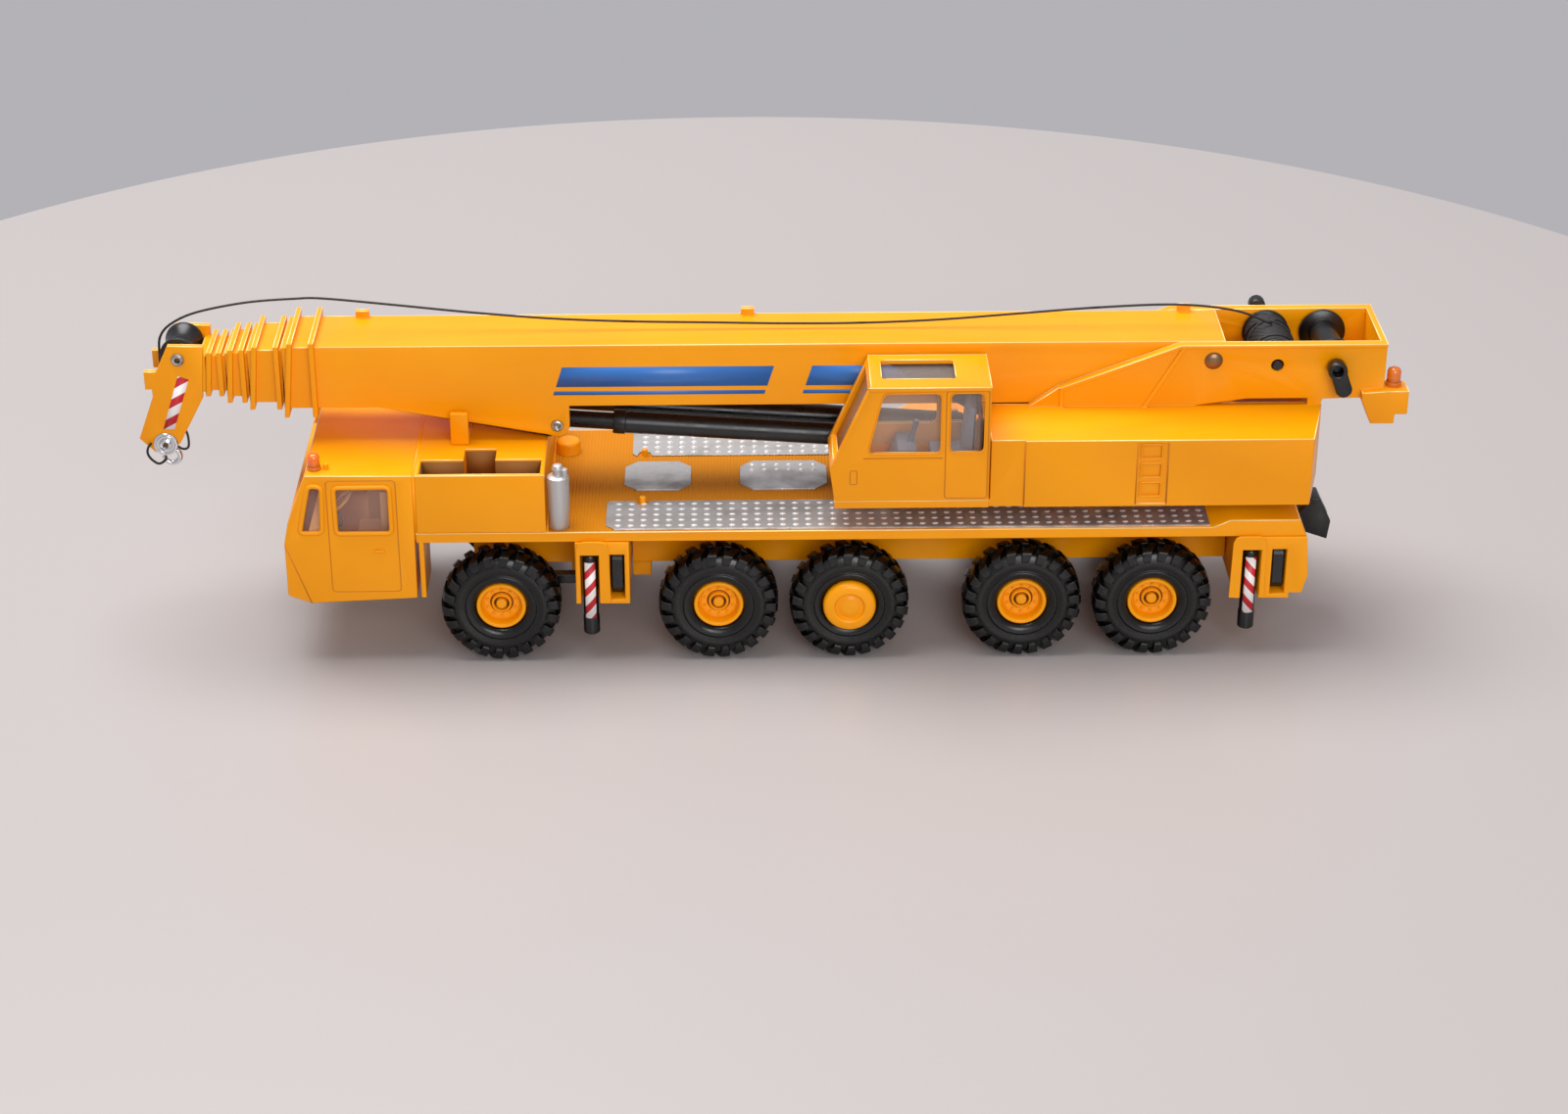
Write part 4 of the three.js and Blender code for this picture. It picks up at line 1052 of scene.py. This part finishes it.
for side, sign in SIDES.items():
    window_frame(f"quarter_frame_{side}", quarter, 1.3, CAB_SIDE, sign, "carrier")
    window_frame(f"door_window_frame_{side}", door_window, 1.3, CAB_SIDE, sign, "carrier")
    groove(f"door_joint_{side}", door_edge, CAB_SIDE, sign, "carrier")
    low_y, high_y = across(sign, CAB_SIDE, CAB_SIDE + 0.5)
    handle = slab(
        f"door_handle_{side}", on_deck(-94.6, low_y, -4.8), on_deck(-92.2, high_y, -4.1)
    )
    dress(handle, ENAMEL, "carrier", 0.15)
    joint_line(f"cab_crease_{side}", crease, CAB_SIDE, sign, "carrier")
seam = slab("roof_seam", on_deck(-85.3, -27.6, -1.9), on_deck(-84.2, 27.6, 14.95))
dress(seam, ENAMEL, "carrier")
print("carrier cab dressed")

# %% [markdown]
# ## Beacons, silencer and boxes
# The beacons are ribbed amber lenses on plain amber bases. The silencer is a tapered cylinder
# in silver lacquer, with a cap and a short second pipe. The tool box and the boom's rest are
# castings, and the trays in the tool box are lined with dark brown: painted shade.

# %% Small parts on the deck
LENS_RIBS = 8


def beacon(node, base_height):
    low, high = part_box(node)
    centre = Vector((*middle_of(node).xy, 0))
    radius = (high.x - low.x) / 2 / MM / 1.15
    foot, top = low.z / MM, high.z / MM
    lens = [(0, foot + base_height)]
    step = (top - foot - base_height) * 0.78 / LENS_RIBS
    for k in range(LENS_RIBS + 1):
        swell = radius * (1.0 if k % 2 else 0.93)
        lens.append((swell, foot + base_height + k * step))
    lens += [(radius * 0.8, top - 0.25), (radius * 0.5, top), (0, top)]
    dome = turned(f"{node}_lens", lens, centre, UP, 32)
    dress(dome, AMBER, BODY_OF[node], 0, [node])
    base = [
        (0, foot), (radius * 1.13, foot), (radius * 1.13, foot + base_height * 0.7),
        (radius, foot + base_height), (0, foot + base_height),
    ]
    stand = turned(f"{node}_base", base, centre, UP, 32)
    dress(stand, AMBER, BODY_OF[node], 0.08)


beacon("front_beacon", 0.8)
beacon("rear_beacon", 1.0)
peg_profile = [(0, 15.2), (0.7, 15.2), (0.6, 16.6), (0, 16.8)]
peg = turned("roof_peg", peg_profile, on_deck(-105.2, -24, 0), UP, 16)
dress(peg, ENAMEL, "carrier", 0.06)

middle = Vector((*middle_of("muffler").xy, DECK))
muffler_profile = [
    (0, 0.06), (2.3, 0.06), (2.45, 0.3), (2.6, 5.5), (2.7, 12.4), (2.55, 13.2), (2.0, 13.6),
    (1.25, 13.75), (1.15, 14.0), (1.15, 14.8), (1.4, 15.0), (1.4, 15.5), (1.0, 16.2), (0, 16.5),
]
can = turned("silencer_can", muffler_profile, middle, UP, 40)
stub_profile = [(0, 0), (0.8, 0), (0.8, 2.6), (0.6, 2.8), (0, 2.8)]
stub = turned("stub", stub_profile, middle + mm(1.6, -0.4, 12.6), UP, 16)
can = united("silencer", [can, stub])
dress(can, SILVER, "carrier", 0.06, ["muffler"])

casting("tool_box", ENAMEL, 0.28)
FLOOR, RIM_LEVEL = 6.1, 14.6
# Each wall or floor of a tray's painted shade: x from and to, distance from the centre line, top.
TRAY_LINERS = [
    (-83.4, -55.1, 19.5, 27.0, 6.3),
    (-73.4, -66, 13.7, 19.6, 6.3),
    (-83.45, -83.25, 19.5, 27.0, RIM_LEVEL),
    (-55.25, -55.05, 19.5, 27.0, RIM_LEVEL),
    (-83.4, -73.4, 19.4, 19.6, RIM_LEVEL),
    (-66, -55.1, 19.4, 19.6, RIM_LEVEL),
    (-73.4, -66, 13.6, 13.8, RIM_LEVEL),
]
for side, sign in SIDES.items():
    liner = []
    for start, end, near, far, top in TRAY_LINERS:
        low_y, high_y = across(sign, near, far)
        liner.append(slab("liner", on_deck(start, low_y, FLOOR), on_deck(end, high_y, top)))
    lining = united(f"tray_painted_shade_{side}", liner)
    dress(lining, TRAY_SHADE, "carrier")
casting("boom_rest", ENAMEL, 0.3)
casting("tow_coupling", BLACK, 0.25)
print("deck fittings dressed")

# %% [markdown]
# ## Steering linkage
# Between the first axle and the front outriggers, a black bar hangs below the deck. It is a
# plain moulded rod.

# %% Steering linkage
for side, sign in SIDES.items():
    low_y, high_y = across(sign, 17.6, 20.2)
    linkage = slab(
        f"steering_linkage_{side}", on_deck(-63, low_y, -17.8), on_deck(-47.9, high_y, -15.4)
    )
    dress(linkage, BLACK, "carrier", 0.2)
print("linkage hung")

# %% [markdown]
# ## Superstructure
# One large casting carries the boom, the winches and the lift rams. A brown domed rivet head
# shows on each cheek at the boom's pivot. Three step frames and fine panel edges mark the side.

# %% Superstructure and rivets
casting("superstructure_body", ENAMEL, 0.22)
CHEEK = 11.3
PIVOT_HEAD = [(0, 0.75), (0.99, 0.7), (1.87, 0.4), (2.2, 0), (2.2, -0.3), (0, -0.3)]
pivot = middle_of("boom_pivot_pin")
pivot.y = 0
shank = [(0, -11.2), (1.55, -11.2), (1.55, 11.2), (0, 11.2)]
pin = turned("pivot_shank", shank, pivot, steps=24)
dress(pin, ZINC, "superstructure", 0.05, ["boom_pivot_pin"])
for side, sign in SIDES.items():
    place = pivot + mm(0, sign * CHEEK, 0)
    head = turned(f"pivot_rivet_{side}", PIVOT_HEAD, place, (0, sign, 0), 24)
    dress(head, RIVET, "superstructure", 0.05)
HOUSE_SIDE = 28.0
for side, sign in SIDES.items():
    for n, foot_z in enumerate((8.1, 13.0, 17.9), 1):
        pocket = [(85.4, foot_z), (85.4, foot_z + 3.7), (90.3, foot_z + 3.7), (90.3, foot_z)]
        name = f"step_frame_{n}_{side}"
        window_frame(name, pocket, 0.4, HOUSE_SIDE - 0.5, sign, "superstructure", 0.28)
    for x in (58.2, 84.4, 91.7):
        edge = [(x, 6.3), (x, 22.3)]
        joint_line(f"panel_edge_{int(x)}_{side}", edge, HOUSE_SIDE, sign, "superstructure")
print("superstructure dressed")

# %% [markdown]
# ## Operator's cab
# A thin casting with large windows, each with a fine bead, and a door outlined by a fine
# joint. Inside are a seat and a console in grey plastic.

# %% Operator's cab
casting("operator_cab_shell", ENAMEL, 0.3, 3)
casting("operator_cab_glazing", CLEAR, 0.1)
casting("operator_seat", GREY, 0.4)
casting("operator_console", GREY, 0.3)
OP_SIDE = 28.3
op_windows = {
    "side": [(24.9, 35.5), (21.3, 20), (38.4, 20), (38.4, 35.5)],
    "door": [(40.4, 35.5), (40.4, 20.2), (48.5, 20.2), (48.5, 35.5)],
}
for name, outline in op_windows.items():
    window_frame(f"operator_{name}_bead", outline, 1.6, OP_SIDE, -1, "superstructure", 0.2)
op_door = [(39.5, 36.0), (39.5, 8.4), (49.4, 8.4), (49.4, 36.0)]
groove("operator_door_joint", op_door, OP_SIDE, -1, "superstructure", 0.8, 0.14)
plate_edge = [(17.3, 12.2), (17.3, 15.7), (18.9, 15.7), (18.9, 12.2)]
groove("operator_small_plate", plate_edge, OP_SIDE, -1, "superstructure", 0.3, 0.12)
joint_line("operator_sill", [(20.4, 18.9), (38.9, 18.9)], OP_SIDE, -1, "superstructure", 0.12)
print("operator's cab dressed")

# %% [markdown]
# ## Winches
# Two drums turn between the cheeks. The front one is wound full of thread, in close turns with
# a few strands crossing over them. The rear one is empty and dished. Each shaft ends in a
# stubby black crank.

# %% Winch drums
WINCHES = [("winch_drum_1", 4.6), ("winch_drum_2", 3.4)]  # each drum and its core's radius


def drum_centre(node):
    middle = middle_of(node)
    return Vector((middle.x, 0, middle.z))


for number, (node, core) in enumerate(WINCHES, 1):
    low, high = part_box(node)
    centre = drum_centre(node)
    near, far = low.y / MM, high.y / MM
    edge = (high.z - low.z) / 2 / MM
    half = [
        (core, 7.5), (edge - 0.3, 7.9), (edge, 8.1), (edge, 8.7), (edge - 0.2, 8.9), (1.2, 8.9),
    ]
    mirrored = [(r, -y) for r, y in reversed(half)]
    profile = [
        (0, near), (1.0, near), (1.2, near + 0.2), *mirrored, *half,
        (1.2, far - 0.2), (1.0, far), (0, far),
    ]
    drum = turned(f"{node}_turned", profile, centre, steps=48)
    dress(drum, BLACK, f"winch_{number}", 0.08, [node])
    casting(f"winch_crank_{number}", BLACK, 0.4, 3)

low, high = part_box("winch_drum_1")
centre = drum_centre("winch_drum_1")
WINDING_TURNS, CROSSING_TURNS = 24, 3
WINDING_HALF, CROSSING_HALF = 7.3, 5.6
PER_TURN = 20
layer = (high.z - low.z) / 2 / MM - 0.55


def strand(name, turns, radius, sideways):
    """Thread wound on the drum; sideways gives its distance from the middle at each share."""
    count = turns * PER_TURN
    path = []
    for k in range(count + 1):
        angle = 2 * math.pi * k / PER_TURN
        offset = mm(radius * math.sin(angle), sideways(k / count), radius * math.cos(angle))
        path.append(centre + offset)
    return swept(name, path, ROPE / 2 * MM, 6)


wound = strand(
    "rope_winding", WINDING_TURNS, layer, lambda share: WINDING_HALF * (2 * share - 1)
)
crossed = strand(
    "rope_crossing",
    CROSSING_TURNS,
    layer + 0.4,
    lambda share: CROSSING_HALF * math.sin(2 * math.pi * share + 0.6),
)
wound = united("winch_rope", [wound, crossed])
dress(wound, THREAD, "winch_1")
print("winches wound")

# %% [markdown]
# ## Boom
# Four box sections slide in one another. The base is the longest casting of the toy. Each
# section's mouth carries two proud collars, the front one leaning. A printed band in blue
# runs along the base's sides.

# %% Boom sections and printed band
for node, bevel in (
    ("boom_base", 0.25), ("boom_section_2", 0.2), ("boom_section_3", 0.2), ("boom_section_4", 0.2)
):
    casting(node, ENAMEL, bevel, 3)
BOOM_SIDE = 9.2
bands = [
    [(-50.1, 34.1), (-0.1, 34.1), (-1.7, 29.0), (-51.7, 29.0)],
    [(-52.1, 27.9), (-2.1, 27.9), (-2.4, 26.9), (-52.4, 26.9)],
    [(8.9, 34.1), (33.9, 34.1), (32.3, 29.0), (7.3, 29.0)],
    [(6.9, 27.9), (31.9, 27.9), (31.6, 26.9), (6.6, 26.9)],
]
for side, sign in SIDES.items():
    levels = across(sign, (BOOM_SIDE - 0.05) * MM, (BOOM_SIDE + 0.04) * MM)
    for n, outline in enumerate(bands, 1):
        print_band = pushed(f"printed_band_{n}_{side}", side_view(outline), "y", *levels)
        dress(print_band, BLUE, "boom")

FORK_EYE = on_deck(-51.7, 0, 19.0)
FORK_RIVET = [
    (0, -0.2), (0.75, -0.2), (0.75, 0.5), (0.95, 0.75), (1.35, 0.6), (1.5, 0.2), (1.5, -0.2),
]
for side, sign in SIDES.items():
    place = FORK_EYE + mm(0, sign * BOOM_SIDE, 0)
    ring = turned(f"fork_rivet_{side}", FORK_RIVET, place, (0, sign, 0), 24)
    dress(ring, ZINC, "boom", 0.04)
print("boom dressed")

# %% [markdown]
# ## Boom head
# Two cheeks hold a black grooved sheave on a pin, and the hook's pin with its two plated
# washers. A strip of warning film is stuck on each cheek.

# %% Sheave, pins and film
HEAD_SIDE = 7.0
groove_profile = [
    (1.25, -5.1), (4.3, -5.1), (4.5, -4.9), (4.5, -4.2), (4.2, -3.6), (3.3, -1.0), (3.2, 0),
    (3.3, 1.0), (4.2, 3.6), (4.5, 4.2), (4.5, 4.9), (4.3, 5.1), (1.25, 5.1), (1.25, -5.1),
]
wheel = turned("sheave_wheel", groove_profile, middle_of("head_sheave"), steps=48)
dress(wheel, BLACK, "sheave", 0.08, ["head_sheave"])
TUBULAR = [(0.9, 7.06), (1.6, 7.06), (1.55, 7.4), (1.1, 7.75), (0.7, 7.65), (0.6, 7.2), (0, 7.2)]
WASHERS = [
    (0.9, 7.06), (2.95, 7.06), (2.95, 7.35), (2.75, 7.6), (2.35, 7.65), (2.1, 7.4), (1.6, 7.4),
    (1.45, 7.9), (1.1, 8.1), (0.75, 8.0), (0.65, 7.6), (0, 7.6),
]
for node, half, surface in (("head_sheave_pin", TUBULAR, ZINC), ("hook_pin", WASHERS, CHROME)):
    centre = middle_of(node)
    profile = [*((r, -y) for r, y in reversed(half)), *half]
    made = turned(f"{node}_turned", profile, centre, steps=40)
    dress(made, surface, "section_4", 0.04, [node])
    # A dark disc at the floor of each pin's hollow end: painted shade.
    floor = half[-1][1]
    disc = [(0, floor - 0.1), (0.58, floor - 0.1), (0.58, floor + 0.05), (0, floor + 0.05)]
    hollows = [turned("hollow", disc, centre, (0, sign, 0), 20) for sign in SIDES.values()]
    dress(united(f"{node}_hollow", hollows), RECESS_SHADE, "section_4")
head_film = [(-140.9, 31.6), (-138.4, 30.7), (-142.8, 17.8), (-145.5, 17.7)]
for side, sign in SIDES.items():
    levels = across(sign, (HEAD_SIDE - 0.05) * MM, (HEAD_SIDE + 0.06) * MM)
    strip = pushed(f"head_film_{side}", side_view(head_film), "y", *levels)
    dress(strip, FILM_HEAD, "section_4")
print("head dressed")

# %% [markdown]
# ## Hook
# A plated shackle swings on the lower pin and ends in a swept hook whose point curls up.

# %% Shackle and hook
hook_pin = middle_of("hook_pin")
HOOK_LINE = [
    (0, -2.4), (0, -3.6), (0.5, -4.6), (1.5, -5.4), (1.8, -6.8), (1.0, -8.0), (-0.4, -8.4),
    (-1.6, -7.7), (-2.0, -6.6),
]
HOOK_EYE = [
    (1.25, -1.5), (2.0, -1.5), (2.2, -1.2), (2.2, 1.2), (2.0, 1.5), (1.25, 1.5), (1.25, -1.5),
]
HOOK_COLLAR = [(0, 0), (1.1, 0), (1.3, -0.3), (1.3, -1.5), (1.0, -1.9), (0, -1.9)]
hook_line = smooth_path([hook_pin + mm(x, 0, z) for x, z in HOOK_LINE], 5)
shank = swept("hook_shank", hook_line, 0.65 * MM, 12)
eye_ring = turned("hook_eye", HOOK_EYE, hook_pin, steps=32)
collar = turned("hook_collar", HOOK_COLLAR, hook_pin + mm(0, 0, -1.9), UP, 24)
hook_piece = united("plated_hook", [shank, eye_ring, collar])
dress(hook_piece, CHROME, "hook", 0.05, ["crane_hook"])
print("hook made")

# %% [markdown]
# The thread's free end is wound loosely round the hook's pin in two small loops and knotted.

# %% Loose loops at the hook
tail_points = [
    (0.6, 0, -3.2), (2.9, -3.4, -3.0), (4.8, -5.6, -1.8), (5.2, -5.6, 0.0), (4.4, -3.4, 1.6),
    (2.4, -1.0, 2.7), (0.0, 1.0, 2.9), (-2.6, 1.2, 1.6), (-3.6, 0.2, -0.6), (-2.6, -2.0, -3.0),
    (-0.6, -5.4, -4.4), (-1.8, -7.9, -4.8), (-3.4, -8.3, -3.6), (-4.3, -8.3, -2.0),
    (-4.1, -8.3, -0.4), (-3.2, -8.3, 0.8),
]
tail_path = smooth_path([hook_pin + mm(*p) for p in tail_points], 5)
rope_tail = swept("rope_tail", tail_path, ROPE / 2 * MM, 8)
dress(rope_tail, THREAD, "hook")
print("rope tail", round(path_length(tail_path) / MM, 1), "mm")

# %% [markdown]
# ## Lift rams
# Two black barrels with thinner rods, joined at their heads by an eye in the boom's fork.

# %% Rams
foot = on_deck(43.3, 0, 12.2)
ram_way = (FORK_EYE - foot).normalized()
ram_length = (FORK_EYE - foot).length / MM
barrel_end = ram_length - 13.2
rod_tip = ram_length + 0.6
RAM_OUT = 5  # each ram, from the centre line
tube = [
    (0, -2.7), (2.2, -2.7), (2.7, -2.2), (2.7, barrel_end - 3), (2.95, barrel_end - 2.8),
    (2.95, barrel_end - 0.4), (2.75, barrel_end), (2.35, barrel_end), (2.3, barrel_end - 4),
    (0, barrel_end - 4),
]
rod = [(0, 10), (2.05, 10), (2.05, ram_length - 1), (1.6, rod_tip), (0, rod_tip)]
tie = [(0, -RAM_OUT), (1.2, -RAM_OUT), (1.2, RAM_OUT), (0, RAM_OUT)]
barrels, rods = [], []
for sign in SIDES.values():
    start = foot + mm(0, RAM_OUT * sign, 0)
    barrels.append(turned("barrel", tube, start, ram_way, 32))
    rods.append(turned("rod", rod, start, ram_way, 32))
barrels.append(turned("tie", tie, foot + ram_way * 11 * MM, steps=20))
ram_barrels = united("ram_barrels_turned", barrels)
dress(ram_barrels, BLACK, "ram_barrels", 0.06, ["lift_barrels"])
eye_bar = [(0, -7.2), (2.0, -7.2), (2.2, -7.0), (2.2, 7.0), (2.0, 7.2), (0, 7.2)]
rods.append(turned("eye", eye_bar, FORK_EYE, steps=32))
ram_rods = united("ram_rods_turned", rods)
dress(ram_rods, BLACK, "ram_rods", 0.06, ["lift_rods"])
print("rams", round(ram_length, 1), "mm between pins")

# %% [markdown]
# ## Painted highlights on top edges
# Fine lines a shade paler than the paint follow the castings' top edges: a painted highlight,
# where the light from above catches them.

# %% Edge lines
EDGED = ["boom_base", "boom_section_2", "boom_section_3", "boom_section_4", "superstructure_body"]
EDGED += ["carrier_deck", "operator_cab_shell"]
for node in EDGED:
    painted_highlight_edges(node)
for node in ("tool_box", "carrier_cab_shell"):
    painted_highlight_edges(node, crosswise=False)
print("edges drawn")

# %% [markdown]
# ## Table, backdrop and light
# A pale grey round table top in an even grey room, with soft light from a large source above
# and behind and a weaker one from the front, so that shadows stay short and soft.

# %% Stage
table_profile = [(0, 0), (352.5, 0), (353.5, -0.6), (353.5, -6), (352.5, -7), (0, -7)]
TABLE = turned("table_top", table_profile, mm(-5.7, -4.2, 0), UP, 256)
TABLE.data.materials.append(material("satin_grey_table", "#a7a19f", Roughness=0.36)[0])

world = bpy.data.worlds.new("soft_studio")
world.use_nodes = True
room = world.node_tree.nodes["Background"]
room.inputs["Color"].default_value = linear("#d8d6dc")
room.inputs["Strength"].default_value = 0.66
scene.world = world


def area_light(name, size, power, place, target=(0, 0, 0.03)):
    data = bpy.data.lights.new(name, "AREA")
    data.shape = "DISK"
    data.size = size
    data.energy = power
    made = bpy.data.objects.new(name, data)
    made.location = place
    made.rotation_euler = (Vector(target) - Vector(place)).to_track_quat("-Z", "Y").to_euler()
    scene.collection.objects.link(made)


area_light("overhead_softbox", 1.0, 18, (-0.22, 0.2, 1.08))
area_light("front_fill", 0.8, 8.5, (0.25, -1.2, 0.62))
print("stage lit")
